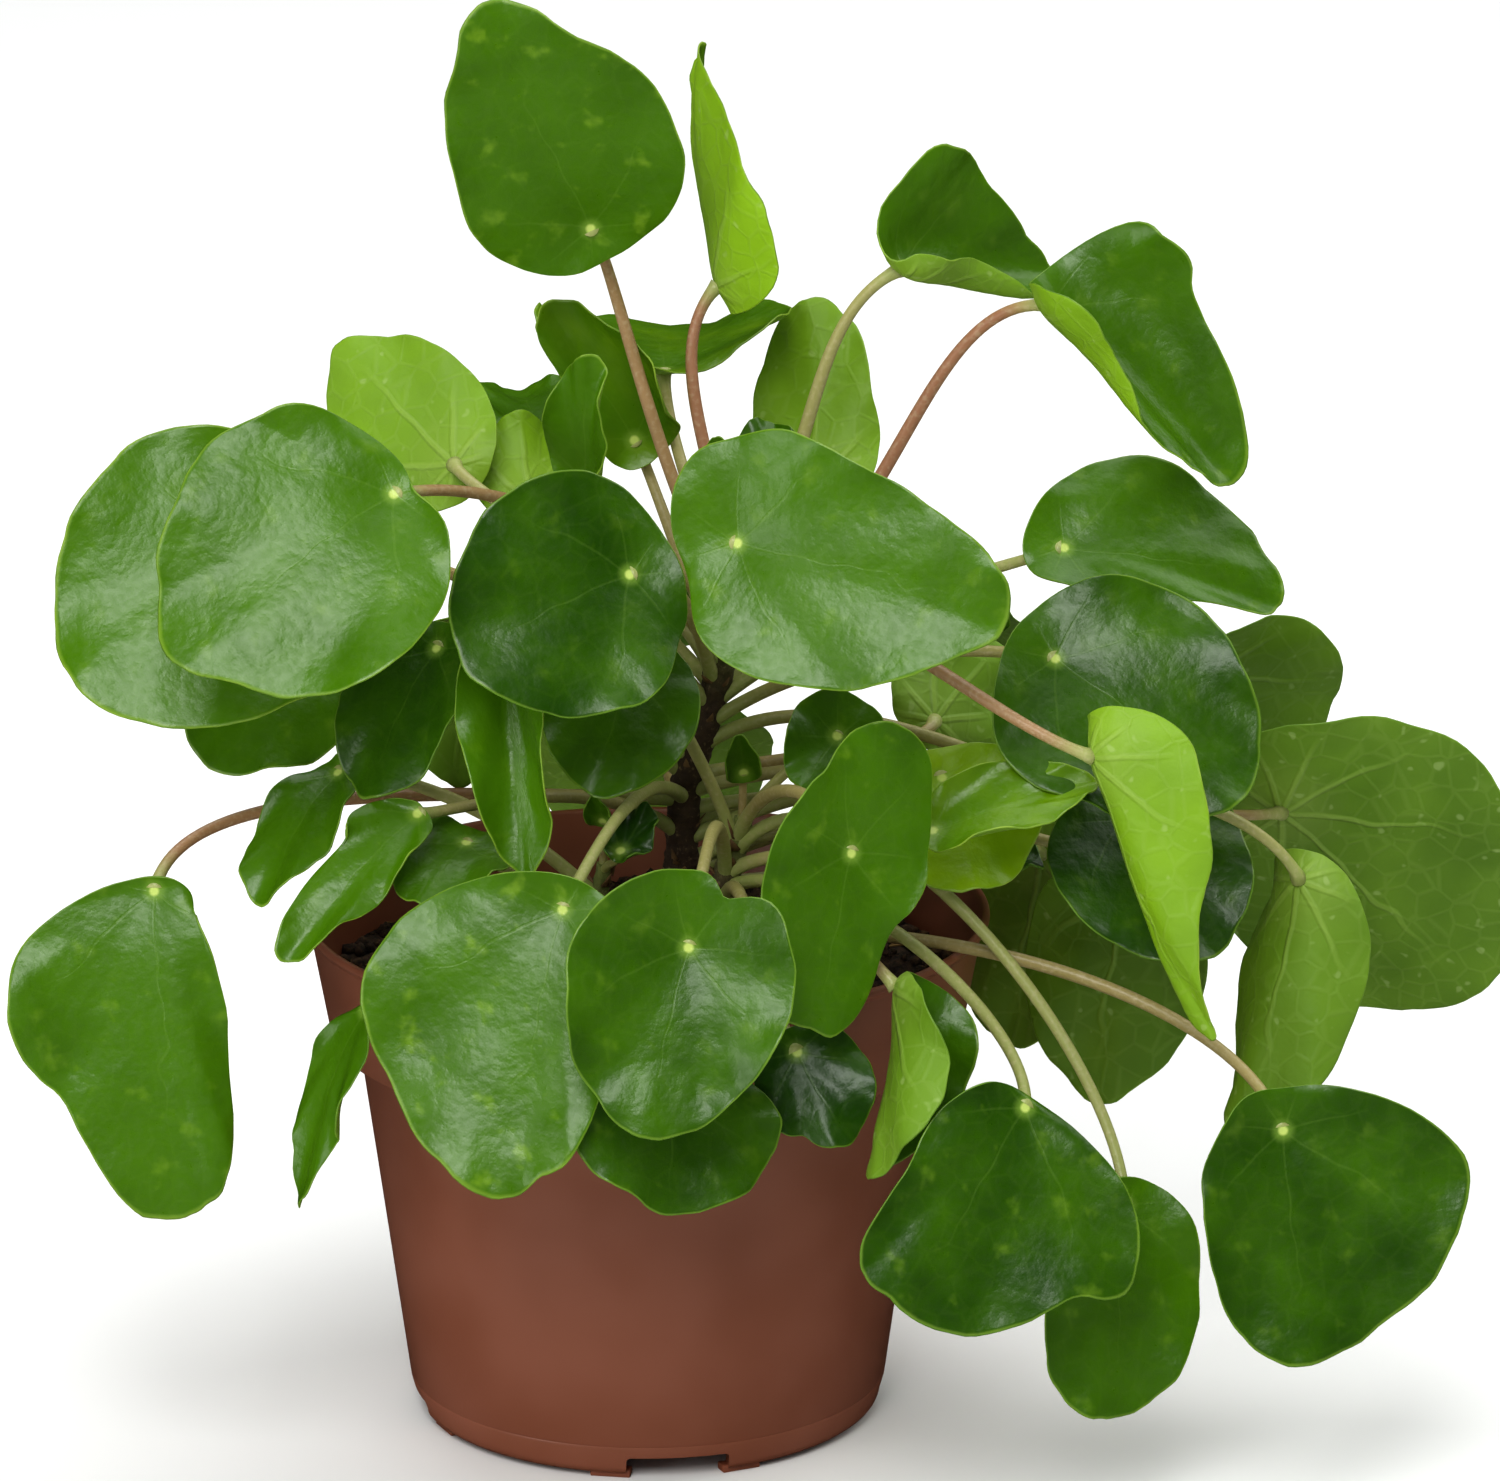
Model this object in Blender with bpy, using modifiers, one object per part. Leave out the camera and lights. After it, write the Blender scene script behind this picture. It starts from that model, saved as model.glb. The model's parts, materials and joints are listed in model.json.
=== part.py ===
"""Potted Chinese money plant: round shield-shaped leaves on long stalks, a woody stem, soil and a nursery pot.

Sizes are in millimetres in the tables below and in metres in the scene. Every place is measured from the
pot's axis on the surface it stands on: +X right, +Y away from the front, +Z up.
"""

import math
import random
from collections import namedtuple

import bmesh
import bpy
from mathutils import Matrix, Vector

MM = 0.001

# The pot's axis, set so that the middle of the whole plant lies on the origin
POT_AXIS = (-25.0, 3.2)

# Pot: a 12 cm nursery pot of thin moulded plastic, with a stacking collar and a skirt under its floor.
# The skirt has a drain notch at each heading, where 0 is the front, and a foot pad to each side of it.
RIM_RADIUS = 60.0
POT_HEIGHT = 91.2
WALL = 1.1
LIP = 1.6
COLLAR_HEIGHT = 21.8
COLLAR_FOOT_RADIUS = 55.3
COLLAR_STEP = 0.4
BODY_TOP_RADIUS = 50.6
BASE_RADIUS = 41.2
CORNER = 2.5
FLOOR_HEIGHT = 5.0
FLOOR_CORNER = 1.5
SKIRT_WALL = 1.7
FOOT_PAD = 0.7
POT_SEGMENTS = 44
DRAIN_WIDTH = 18.0
DRAIN_DEPTH = 12.0
DRAIN_HEIGHT = 4.4
DRAIN_HEADINGS = (8.0, 98.0, 188.0, 278.0)
PAD_SIZE = (7.0, 2.6)
PAD_RADIUS = 38.2
PAD_TURN = 17.0

# Soil: fills the pot to a little under its rim. The mound is radius and height over SOIL_HEIGHT.
SOIL_HEIGHT = 79.0
SOIL_MOUND = ((0, 2), (12, 1.5), (24, 0), (36, -0.5), (46, 0))
SOIL_BUMP = 2.2
SOIL_SEGMENTS = 24
CLEAR = 0.3

# Stems: (x, y, z) and radius along each of the trunk, its side shoot and a young offset beside it
STEMS = {
    "trunk": (
        ((5, 1, 58), 2.4), ((7, 1, 80), 3.1), ((6, 1, 100), 3.0), ((7, 0, 114), 2.8),
        ((11, 0, 127), 2.7), ((14, -1, 140), 2.3), ((15, -1, 151), 2.0), ((15, -1, 154), 1.2),
    ),
    "shoot": (((13, -12, 60), 1.6), ((12, -13, 84), 2.3), ((14, -14, 101), 2.5), ((17, -14, 112), 1.6)),
    "offset": (((-10, -22, 60), 1.2), ((-9, -23, 84), 1.8), ((-8, -24, 98), 1.7), ((-7, -24, 107), 1.2)),
}
STEM_SIDES = 8
STEM_CLEAR = 0.39  # a little over CLEAR, because the sides are flat

# Leaves: the blade, and the rings and segments of a large and a small one
BLADE_THICKNESS = 0.8
HUB_PIT = 1.6
HUB_PIT_RADIUS = 7.0
TIP_POINT = 0.05
TIP_SHARPNESS = 8
RIM_WAVES = 5
LARGE_LEAF = 39.0
LARGE_MESH = (16, (0, 0.4, 0.75, 1))
SMALL_MESH = (14, (0, 0.5, 1))

# Stalks: the shares of their reach over which they keep the direction of their foot and of their hub, and how
# far under the blade's top side they end
STALK_FOOT_RADIUS = 1.2
STALK_TOP_RADIUS = 0.95
STALK_SIDES = 6
FOOT_SHARE = 0.4
HUB_SHARE = 0.3
STALK_SINK = 0.45
LONG_STALK = 45.0
LONG_STEPS = 6
SHORT_STEPS = 4

Leaf = namedtuple(
    "Leaf", "name stem foot rise hang hub tip faces width back lean egg sides curl crease wave dents"
)


def leaf(
    number, stem, foot, rise, hub, tip, faces, width=0.9, back=0.2, lean=0.0, egg=0.12, sides=(12, 12),
    curl=-10, crease=1.0, wave=1.0, hang=0.8, dents=(),
):
    """One leaf: its stem, the height at which its stalk leaves it and the stalk's rise in degrees there; the
    hub, where the stalk meets the blade, and the blade's tip; the heading (0 is front, 90 is right) and rise of
    its top side; its width over its length; the share of its length behind the hub; how far its outline leans
    to its right; how much wider its back is than its front; how far its left and right sides and its length
    bend up, in degrees; how wide the bend is over the half width; the height of the waves in its rim; and how
    far the stalk comes down along the blade as it meets the hub, over how far it comes up through it. Each dent
    moves the rim in or out: its turn from the tip towards the right, its percentage and its width in degrees."""
    return Leaf(
        f"leaf_{number:02d}", stem, foot, rise, hang, Vector(hub), Vector(tip), faces, width, back, lean, egg,
        sides, curl, crease, wave, dents,
    )


LEAVES = (
    # Top
    leaf(
        1, "trunk", 146, 62, (-9, -5, 214), (-26, -12, 253), (0, 5), 0.78, 0.13, 0.04, 0.25, (10, 14), -14,
        dents=((210, -5, 20),),
    ),
    leaf(
        2, "trunk", 149, 65, (13, 12, 200), (8, 18, 241), (100, 5), 0.85, 0.1, 0, 0.4, (40, 40), 32,
        dents=((205, 35, 22),),
    ),
    leaf(
        3, "trunk", 151, 50, (44, -8, 208), (72, 14, 198), (0, 50), 0.88, 0.14, -0.15, 0.5, (60, 125), 30, 0.6,
        dents=((212, 20, 20), (247, -6, 15), (280, -14, 25)),
    ),
    leaf(
        4, "trunk", 142, 25, (69, -22, 205), (94, -28, 177), (45, 42), 0.9, 0.12, -0.15, 0.4, (65, 85), 0, 0.8,
        dents=((220, 10, 20), (275, -18, 25), (330, 20, 25)),
    ),
    leaf(5, "trunk", 143, 55, (3, 28, 181), (1, 66, 178), (0, 75), 1.1, 0.15, 0, 0.1, (35, 35), 0),
    leaf(6, "trunk", 138, 45, (-2, 17, 171), (-17, 16, 195), (-20, 40), 0.75, 0.14, 0.3, 0.1, (0, 80), 0),
    leaf(7, "trunk", 140, 60, (-10, -22, 174), (-8, -26, 197), (-30, 10), 0.6, 0.1, 0, 0.1, (20, 60), 0),
    leaf(8, "trunk", 133, 45, (-20, 42, 167), (-23, 67, 166), (0, 70), 0.9, 0.1, 0, 0.1, (45, 45), 0),
    leaf(9, "trunk", 126, 50, (-20, 18, 159), (-22, 24, 174), (200, 20), 0.9, sides=(10, 10), curl=0),
    leaf(10, "trunk", 131, 50, (-33, 15, 167), (-54, 34, 183), (200, 10), 0.78, 0.14, 0.05, 0.1, (10, 10), 10),
    leaf(
        20, "trunk", 134, 50, (29, 32, 158), (30, 48, 188), (165, 20), 0.62, 0.15, 0, 0.1, (15, 15), 0,
        dents=((285, -12, 25), (45, 10, 20)),
    ),
    leaf(21, "trunk", 143, 35, (22, 16, 164), (20, 24, 172), (0, 60), 0.9),
    # Left
    leaf(
        11, "trunk", 135, 60, (-41, -52, 180), (-75, -66, 158), (-10, 25), 1.05, 0.1, 0, 0.05, (10, 10), -15,
        dents=((0, 5, 20), (60, -6, 20), (132, 5, 18), (186, -24, 9)),
    ),
    leaf(
        12, "trunk", 125, 45, (-60, -28, 165), (-95, -40, 148), (-15, 30), 1.06, 0.2, 0, 0.1, (8, 8), -15,
        dents=((345, 7, 22),),
    ),
    leaf(13, "trunk", 118, 40, (-58, -8, 141), (-73, -20, 123), (-20, 20), 1.0, 0.2, 0, 0.1, (8, 8), -10),
    leaf(14, "trunk", 121, 50, (-35, -30, 147), (-46, -40, 124), (-40, 15), 0.82, 0.15, 0, 0.1, (10, 10), -10),
    leaf(
        15, "trunk", 127, 55, (-23, -43, 153), (-18, -58, 116), (-10, 0), 0.5, 0.1, 0, 0.1, (50, 40), 0, 0.3,
    ),
    leaf(
        49, "trunk", 111, 8, (-83, -40, 107), (-79, -52, 54), (-10, 10), 0.64, 0.04, 0.2, 0.1, (-60, 20), -10,
        dents=((60, -20, 30), (230, -32, 30)),
    ),
    leaf(42, "offset", 100, 50, (-52, -30, 125), (-64, -46, 107), (-40, 20), 0.6, 0.1, 0, 0, (10, 10)),
    leaf(43, "offset", 92, 50, (-30, -38, 115), (-37, -54, 108), (-10, 60), 0.9),
    leaf(
        41, "trunk", 104, 40, (-38, -44, 122), (-60, -60, 102), (-15, 40), 0.52, 0.04, 0.1, 0, (30, 30), 0,
        dents=((75, -45, 35),),
    ),
    leaf(48, "offset", 88, 62, (-47, -52, 90), (-57, -56, 56), (-60, 10), 0.45, 0.02, 0, 0, (10, 10), hang=2),
    leaf(51, "trunk", 115, 40, (-31, -6, 134), (-33, -12, 118), (180, 10), 0.9),
    # Centre
    leaf(
        16, "trunk", 131, 60, (-2, -48, 165), (-30, -62, 156), (0, 20), 1.03, 0.2, 0, 0.1, (10, 10), -10,
        dents=((150, 12, 20), (225, -10, 18)),
    ),
    leaf(
        17, "trunk", 137, 60, (16, -50, 171), (60, -62, 164), (5, 25), 0.74, 0.21, 0, 0.2, (-15, -15), -10,
        dents=((155, -32, 22), (205, 12, 14), (285, -18, 35)),
    ),
    leaf(18, "shoot", 107, 70, (-2, -26, 142), (-9, -38, 124), (0, 15), 0.95, 0.22, 0, 0.1, (10, 10)),
    leaf(
        44, "trunk", 111, 30, (-13, -72, 114), (-24, -88, 71), (-10, 20), 0.82, 0.11, 0.17, 0.15, (5, 5),
        dents=((200, -10, 20), (300, 8, 20)),
    ),
    leaf(
        45, "shoot", 101, 60, (8, -86, 112), (0, -96, 84), (5, 20), 0.9, 0.3, 0, 0.1, (25, 25), 10,
        dents=((193, -13, 9), (215, 5, 12)),
    ),
    leaf(
        46, "shoot", 90, 55, (5, -74, 84), (4, -84, 65), (0, 20), 1.3, 0.2, 0, 0.1, (5, 5), hang=2,
        dents=((30, -8, 15),),
    ),
    leaf(
        47, "shoot", 96, 50, (26, -66, 87), (34, -72, 73), (10, 15), 0.9, 0.2, 0, 0.1, (-10, -10), 0, hang=2,
        dents=((45, -10, 12),),
    ),
    leaf(
        35, "shoot", 108, 55, (35, -63, 121), (27, -73, 92), (30, 10), 0.62, 0.42, 0, 0.1, (10, 10), 0,
        dents=((240, -14, 22), (258, -10, 15), (292, -28, 26), (0, -10, 20), (135, -18, 25)),
    ),
    leaf(36, "shoot", 111, 60, (33, -25, 130), (27, -31, 122), (0, 30), 0.9, 0.4, sides=(20, 20), curl=0),
    leaf(50, "offset", 105, 60, (-4, -30, 111), (1, -24, 116), (-20, 50), 0.8, sides=(15, 15), curl=0),
    # Right
    leaf(
        22, "trunk", 128, 40, (72, -6, 158), (108, -2, 149), (0, 45), 0.6, 0.16, -0.2, 0.2, (5, 5), -20,
        dents=((45, 10, 25),),
    ),
    leaf(
        23, "trunk", 124, 40, (70, -26, 144), (100, -36, 122), (10, 15), 0.93, 0.18, 0, 0.1, (10, 10), -5,
        dents=((70, -10, 30), (150, -6, 20)),
    ),
    leaf(
        24, "trunk", 138, 50, (76, -50, 134), (94, -60, 87), (110, 10), 0.5, 0.13, 0.1, 0.5, (60, 60), 25, 0.5,
        dents=((150, 26, 22), (190, -12, 15), (60, -12, 30)),
    ),
    leaf(25, "trunk", 120, 40, (82, -18, 113), (95, -34, 93), (20, 20), 1.0, 0.2, 0, 0.1, (10, 10), -5),
    leaf(26, "trunk", 106, 12, (98, 38, 122), (115, 50, 102), (170, 10), 1.2, 0.2, 0, 0.1, (10, 10), -10),
    leaf(
        27, "trunk", 109, 10, (111, 6, 107), (145, 16, 70), (170, 20), 0.95, 0.24, 0, 0.05, (10, 10), -5,
        dents=((255, -20, 35),),
    ),
    leaf(28, "trunk", 103, 30, (113, -18, 102), (103, -26, 58), (140, 0), 0.6, 0.1, 0, 0.2, (40, 40), 0, 0.6),
    leaf(
        29, "shoot", 90, 15, (108, -60, 71), (111, -68, 33), (10, 20), 0.93, 0.19, -0.15, 0.05, (10, 10), 10,
        dents=((30, -5, 15), (150, -18, 18), (228, 10, 28)),
    ),
    leaf(
        30, "shoot", 99, 30, (65, -74, 78), (43, -89, 51), (0, 25), 1.02, 0.05, -0.2, 0.05, (10, 10), -5,
        dents=((45, 8, 25), (208, 28, 25), (235, 12, 15), (292, -12, 20)),
    ),
    leaf(
        31, "shoot", 105, 56, (82, -53, 55), (78, -63, 20), (20, 10), 0.7, 0.12, 0, 0, (10, 10), 0, hang=3,
        dents=((220, 12, 25),),
    ),
    leaf(32, "trunk", 99, 25, (84, 6, 94), (78, 8, 54), (160, 10), 0.75, 0.1, 0, 0.1, (10, 10), -5),
    leaf(33, "trunk", 96, 30, (70, 26, 93), (63, 34, 55), (150, 10), 0.6, 0.2, 0, 0.1, (10, 10), -5),
    leaf(
        34, "shoot", 93, 30, (43, -62, 97), (37, -70, 67), (85, 0), 1.1, 0.08, 0, 0.1, (100, 60), 0, 0.8,
        dents=((222, 25, 30),),
    ),
    leaf(37, "shoot", 102, 35, (49, -44, 119), (76, -43, 126), (0, 60), 0.6, 0.1, 0, 0.1, (40, 40), 0),
    leaf(38, "trunk", 112, 25, (51, -20, 121), (58, -34, 105), (10, 40), 1.1, curl=0),
    leaf(39, "trunk", 115, 12, (50, 7, 123), (62, 16, 134), (170, 10), 1.0, curl=0),
    leaf(40, "trunk", 93, 20, (58, 8, 99), (67, -8, 99), (0, 70), 0.6, curl=0),
    leaf(52, "trunk", 129, 40, (56, 36, 136), (60, 44, 127), (0, 20), 0.9, curl=0),
    # Back
    leaf(53, "trunk", 120, 50, (1, 52, 135), (-7, 84, 112), (185, 35), 1.0),
    leaf(54, "trunk", 123, 50, (40, 50, 134), (54, 78, 112), (150, 35), 1.0),
    leaf(55, "trunk", 114, 45, (-38, 44, 128), (-60, 70, 106), (220, 35), 1.0),
    leaf(56, "trunk", 98, 50, (0, 66, 104), (-4, 90, 72), (180, 25), 0.95),
)

# Colours and finishes: base colour, roughness
FINISHES = {
    "pot_plastic": ((0.195, 0.055, 0.028), 0.42),
    "potting_soil": ((0.030, 0.019, 0.012), 0.95),
    "stem_bark": ((0.060, 0.040, 0.024), 0.80),
    "leaf_green": ((0.060, 0.170, 0.016), 0.40),
}


def clear_scene():
    for obj in list(bpy.data.objects):
        bpy.data.objects.remove(obj, do_unlink=True)


def new_collection(name):
    made = bpy.data.collections.new(name)
    bpy.context.scene.collection.children.link(made)
    return made


def finish(name):
    made = bpy.data.materials.get(name)
    if made:
        return made
    colour, roughness = FINISHES[name]
    made = bpy.data.materials.new(name)
    made.use_nodes = True
    surface = made.node_tree.nodes["Principled BSDF"]
    surface.inputs["Base Color"].default_value = (*colour, 1)
    surface.inputs["Roughness"].default_value = roughness
    return made


def new_object(name, mesh, collection, axis):
    obj = bpy.data.objects.new(name, mesh)
    collection.objects.link(obj)
    obj.parent = axis
    return obj


def settle(obj):
    """The object's modifiers applied and its helpers' joins made real."""
    bpy.context.view_layer.update()
    graph = bpy.context.evaluated_depsgraph_get()
    mesh = bpy.data.meshes.new_from_object(obj.evaluated_get(graph))
    obj.modifiers.clear()
    obj.data = mesh


def smooth(obj, angle=40):
    obj.data.shade_smooth()
    obj.data.set_sharp_from_angle(angle=math.radians(angle))


def boolean(obj, other, operation):
    cut = obj.modifiers.new(other.name, "BOOLEAN")
    cut.operation = operation
    cut.object = other


def hide_helper(obj):
    obj.hide_render = True
    obj.display_type = "WIRE"


def tube(name, points, radii, sides, collection, axis):
    """A closed mesh tube along the points, from a curve with round section and filled caps."""
    curve = bpy.data.curves.new(name, "CURVE")
    curve.dimensions = "3D"
    curve.bevel_depth = MM
    curve.bevel_resolution = (sides - 4) // 2
    curve.use_fill_caps = True
    spline = curve.splines.new("POLY")
    spline.points.add(len(points) - 1)
    for point, place, radius in zip(spline.points, points, radii):
        point.co = (*(Vector(place) * MM), 1)
        point.radius = radius
    guide = new_object(name + "_guide", curve, collection, axis)
    bpy.context.view_layer.update()
    graph = bpy.context.evaluated_depsgraph_get()
    mesh = bpy.data.meshes.new_from_object(guide.evaluated_get(graph))
    bpy.data.objects.remove(guide, do_unlink=True)
    bm = bmesh.new()
    bm.from_mesh(mesh)
    bmesh.ops.remove_doubles(bm, verts=bm.verts, dist=1e-6)
    bmesh.ops.recalc_face_normals(bm, faces=bm.faces)
    bm.to_mesh(mesh)
    bm.free()
    return new_object(name, mesh, collection, axis)


def turned(name, profile, collection, axis):
    """A solid turned about the axis from (radius, height) points that run from the axis round and back."""
    mesh = bpy.data.meshes.new(name)
    bm = bmesh.new()
    row = [bm.verts.new((radius * MM, 0, height * MM)) for radius, height in profile]
    for first, second in zip(row, row[1:]):
        bm.edges.new((first, second))
    bm.to_mesh(mesh)
    bm.free()
    obj = new_object(name, mesh, collection, axis)
    screw = obj.modifiers.new("turn", "SCREW")
    screw.steps = POT_SEGMENTS
    screw.render_steps = POT_SEGMENTS
    screw.use_merge_vertices = True
    screw.merge_threshold = 0.00001
    return obj


def box(name, size, place, heading, collection, axis):
    """A box with its middle at a distance from the axis, turned to a heading where 0 is the front."""
    mesh = bpy.data.meshes.new(name)
    bm = bmesh.new()
    bmesh.ops.create_cube(bm, size=1)
    bmesh.ops.scale(bm, vec=Vector(size) * MM, verts=bm.verts)
    bmesh.ops.translate(bm, vec=Vector(place) * MM, verts=bm.verts)
    bmesh.ops.rotate(bm, matrix=Matrix.Rotation(math.radians(heading), 3, "Z"), verts=bm.verts)
    bm.to_mesh(mesh)
    bm.free()
    return new_object(name, mesh, collection, axis)


def wall_radius(height):
    """The pot's outer radius at a height, on its body or on its collar."""
    collar_foot = POT_HEIGHT - COLLAR_HEIGHT
    if height >= collar_foot:
        share = (height - collar_foot) / COLLAR_HEIGHT
        return COLLAR_FOOT_RADIUS + share * (RIM_RADIUS - LIP / 2 - COLLAR_FOOT_RADIUS)
    return BASE_RADIUS + (BODY_TOP_RADIUS - BASE_RADIUS) * height / collar_foot


def make_pot(parts, cutters, axis):
    collar_foot = POT_HEIGHT - COLLAR_HEIGHT
    corner = [
        (BASE_RADIUS - CORNER * (1 - math.cos(turn)), FOOT_PAD + CORNER * (1 - math.sin(turn)))
        for turn in (0, math.pi / 4, math.pi / 2)
    ]
    skirt = BASE_RADIUS - CORNER - SKIRT_WALL
    profile = [
        (0, FLOOR_HEIGHT + WALL),
        (wall_radius(FLOOR_HEIGHT) - WALL - FLOOR_CORNER, FLOOR_HEIGHT + WALL),
        (wall_radius(FLOOR_HEIGHT) - WALL, FLOOR_HEIGHT + WALL + FLOOR_CORNER),
        (wall_radius(collar_foot - 0.1) - WALL, collar_foot),
        (COLLAR_FOOT_RADIUS - WALL, collar_foot + WALL),
        (wall_radius(POT_HEIGHT - 3) - WALL, POT_HEIGHT - 3),
        (RIM_RADIUS - LIP, POT_HEIGHT - 1.2),
        (RIM_RADIUS - LIP * 0.5, POT_HEIGHT),
        (RIM_RADIUS, POT_HEIGHT - 0.7),
        (RIM_RADIUS, POT_HEIGHT - 1.8),
        (wall_radius(POT_HEIGHT - 2.4), POT_HEIGHT - 2.4),
        (COLLAR_FOOT_RADIUS, collar_foot),
        (BODY_TOP_RADIUS, collar_foot - COLLAR_STEP),
        *corner,
        (skirt, FOOT_PAD),
        (skirt, FLOOR_HEIGHT),
        (0, FLOOR_HEIGHT),
    ]
    pot = turned("pot", profile, parts, axis)
    for number, heading in enumerate(DRAIN_HEADINGS, 1):
        notch = (DRAIN_WIDTH, DRAIN_DEPTH, DRAIN_HEIGHT * 2)
        drain = box(f"drain_{number}", notch, (0, -BASE_RADIUS, 0), heading, cutters, axis)
        hide_helper(drain)
        boolean(pot, drain, "DIFFERENCE")
        for side in (-1, 1):
            size, place = (*PAD_SIZE, FOOT_PAD * 2), (0, -PAD_RADIUS, FOOT_PAD)
            pad = box(f"pad_{number}_{side}", size, place, heading + side * PAD_TURN, cutters, axis)
            hide_helper(pad)
            boolean(pot, pad, "UNION")
    pot.data.materials.append(finish("pot_plastic"))
    settle(pot)
    smooth(pot, 30)
    return pot


def make_soil(parts, rooms, axis):
    collar_foot = POT_HEIGHT - COLLAR_HEIGHT
    low = FLOOR_HEIGHT + WALL + CLEAR
    gap = WALL + CLEAR + 0.1
    rim = SOIL_HEIGHT - 1
    profile = [
        *((radius, SOIL_HEIGHT + height) for radius, height in SOIL_MOUND),
        (wall_radius(rim) - gap, rim),
        (COLLAR_FOOT_RADIUS - gap, collar_foot + WALL + 2 * CLEAR),
        (wall_radius(collar_foot - 0.1) - gap, collar_foot + CLEAR),
        (wall_radius(low) - gap, low + FLOOR_CORNER + CLEAR),
        (wall_radius(low) - gap - FLOOR_CORNER - CLEAR, low),
        (0, low),
    ]
    soil = turned("soil", profile, parts, axis)
    screw = soil.modifiers["turn"]
    screw.steps = SOIL_SEGMENTS
    screw.render_steps = SOIL_SEGMENTS
    settle(soil)
    draw = random.Random(7)
    for vertex in soil.data.vertices:
        if vertex.co.z > (rim + CLEAR) * MM:
            vertex.co.z += draw.uniform(-SOIL_BUMP, SOIL_BUMP) * MM
    for room in rooms.values():
        boolean(soil, room, "DIFFERENCE")
    soil.data.materials.append(finish("potting_soil"))
    settle(soil)
    smooth(soil, 25)


def stem_axis(stem, height):
    """The point of a stem's middle line at a height."""
    line = [Vector(place) for place, _ in STEMS[stem]]
    for low, high in zip(line, line[1:]):
        if low.z <= height <= high.z:
            return low.lerp(high, (height - low.z) / (high.z - low.z))
    return line[-1]


def make_stems(parts, cutters, axis):
    rooms = {}
    for name, line in STEMS.items():
        points = [place for place, _ in line]
        radii = [radius for _, radius in line]
        stem = tube(name, points, radii, STEM_SIDES, parts, axis)
        stem.data.materials.append(finish("stem_bark"))
        smooth(stem)
        low = Vector(points[0]) - Vector((0, 0, 1))
        high = Vector(points[-1]) + Vector((0, 0, CLEAR))
        room = tube(
            name + "_room", [low, *points[1:-1], high], [radius + STEM_CLEAR for radius in radii],
            STEM_SIDES, cutters, axis,
        )
        hide_helper(room)
        rooms[name] = room
    return rooms


def direction(heading, rise):
    heading, rise = math.radians(heading), math.radians(rise)
    return Vector((math.sin(heading) * math.cos(rise), -math.cos(heading) * math.cos(rise), math.sin(rise)))


def leaf_frame(row):
    """Right, tip and top directions of a blade at its hub."""
    along = (row.tip - row.hub).normalized()
    top = direction(*row.faces)
    top = (top - top.dot(along) * along).normalized()
    return along.cross(top), along, top


def bend(distance, reach, angle, crease):
    """A point of a flat strip that bends by an angle over a part of its reach: (along, up, turn so far)."""
    curved = reach * crease
    turn = math.radians(angle)
    if abs(turn) < 1e-6:
        return distance, 0.0, 0.0
    radius = curved / turn
    so_far = turn * min(distance / curved, 1.0)
    beyond = max(distance - curved, 0.0)
    return (
        radius * math.sin(so_far) + beyond * math.cos(so_far),
        radius * (1 - math.cos(so_far)) + beyond * math.sin(so_far),
        so_far,
    )


def rim_shape(row, turn):
    """How far the dents move the rim in or out at an angle of the outline, as a share."""
    total = 0.0
    for middle, amount, reach in row.dents:
        off = (math.degrees(turn) - middle + 180) % 360 - 180
        total += amount / 100 * math.exp(-((off / reach) ** 2))
    return total


def blade_point(row, turn, share):
    """The point of a blade's top side at an angle of its outline and a share of the way from hub to rim."""
    length = (row.tip - row.hub).length / (1 - row.back)
    half, wide = length / 2, length * row.width / 2
    point = TIP_POINT * half * max(math.cos(turn), 0) ** TIP_SHARPNESS
    across = wide * math.sin(turn) * (1 - row.egg * math.cos(turn)) + 2 * row.lean * wide * math.sin(turn) ** 2
    grown = share * (1 + rim_shape(row, turn) * share**2)
    across *= grown
    ahead = grown * (half * math.cos(turn) + point + length * (0.5 - row.back))
    distance = math.hypot(across, ahead)
    lift = HUB_PIT * (1 - math.exp(-((distance / HUB_PIT_RADIUS) ** 2)))
    lift += row.wave * share**3 * math.sin(RIM_WAVES * turn + row.hub.x)
    sideways, up, tilt = bend(abs(across), wide, row.sides[across > 0], row.crease)
    side = 1 if across > 0 else -1
    sideways = side * (sideways - lift * math.sin(tilt))
    up += lift * math.cos(tilt)
    arch = math.radians(row.curl) / length
    if abs(arch) > 1e-6:
        turned_by = arch * ahead
        ahead, up = (
            math.sin(turned_by) / arch - up * math.sin(turned_by),
            (1 - math.cos(turned_by)) / arch + up * math.cos(turned_by),
        )
        level = -math.radians(row.curl) * (1 - row.back) / 2
        ahead, up = (
            ahead * math.cos(level) - up * math.sin(level),
            ahead * math.sin(level) + up * math.cos(level),
        )
    right, along, top = leaf_frame(row)
    return row.hub + right * sideways + along * ahead + top * up


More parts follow.
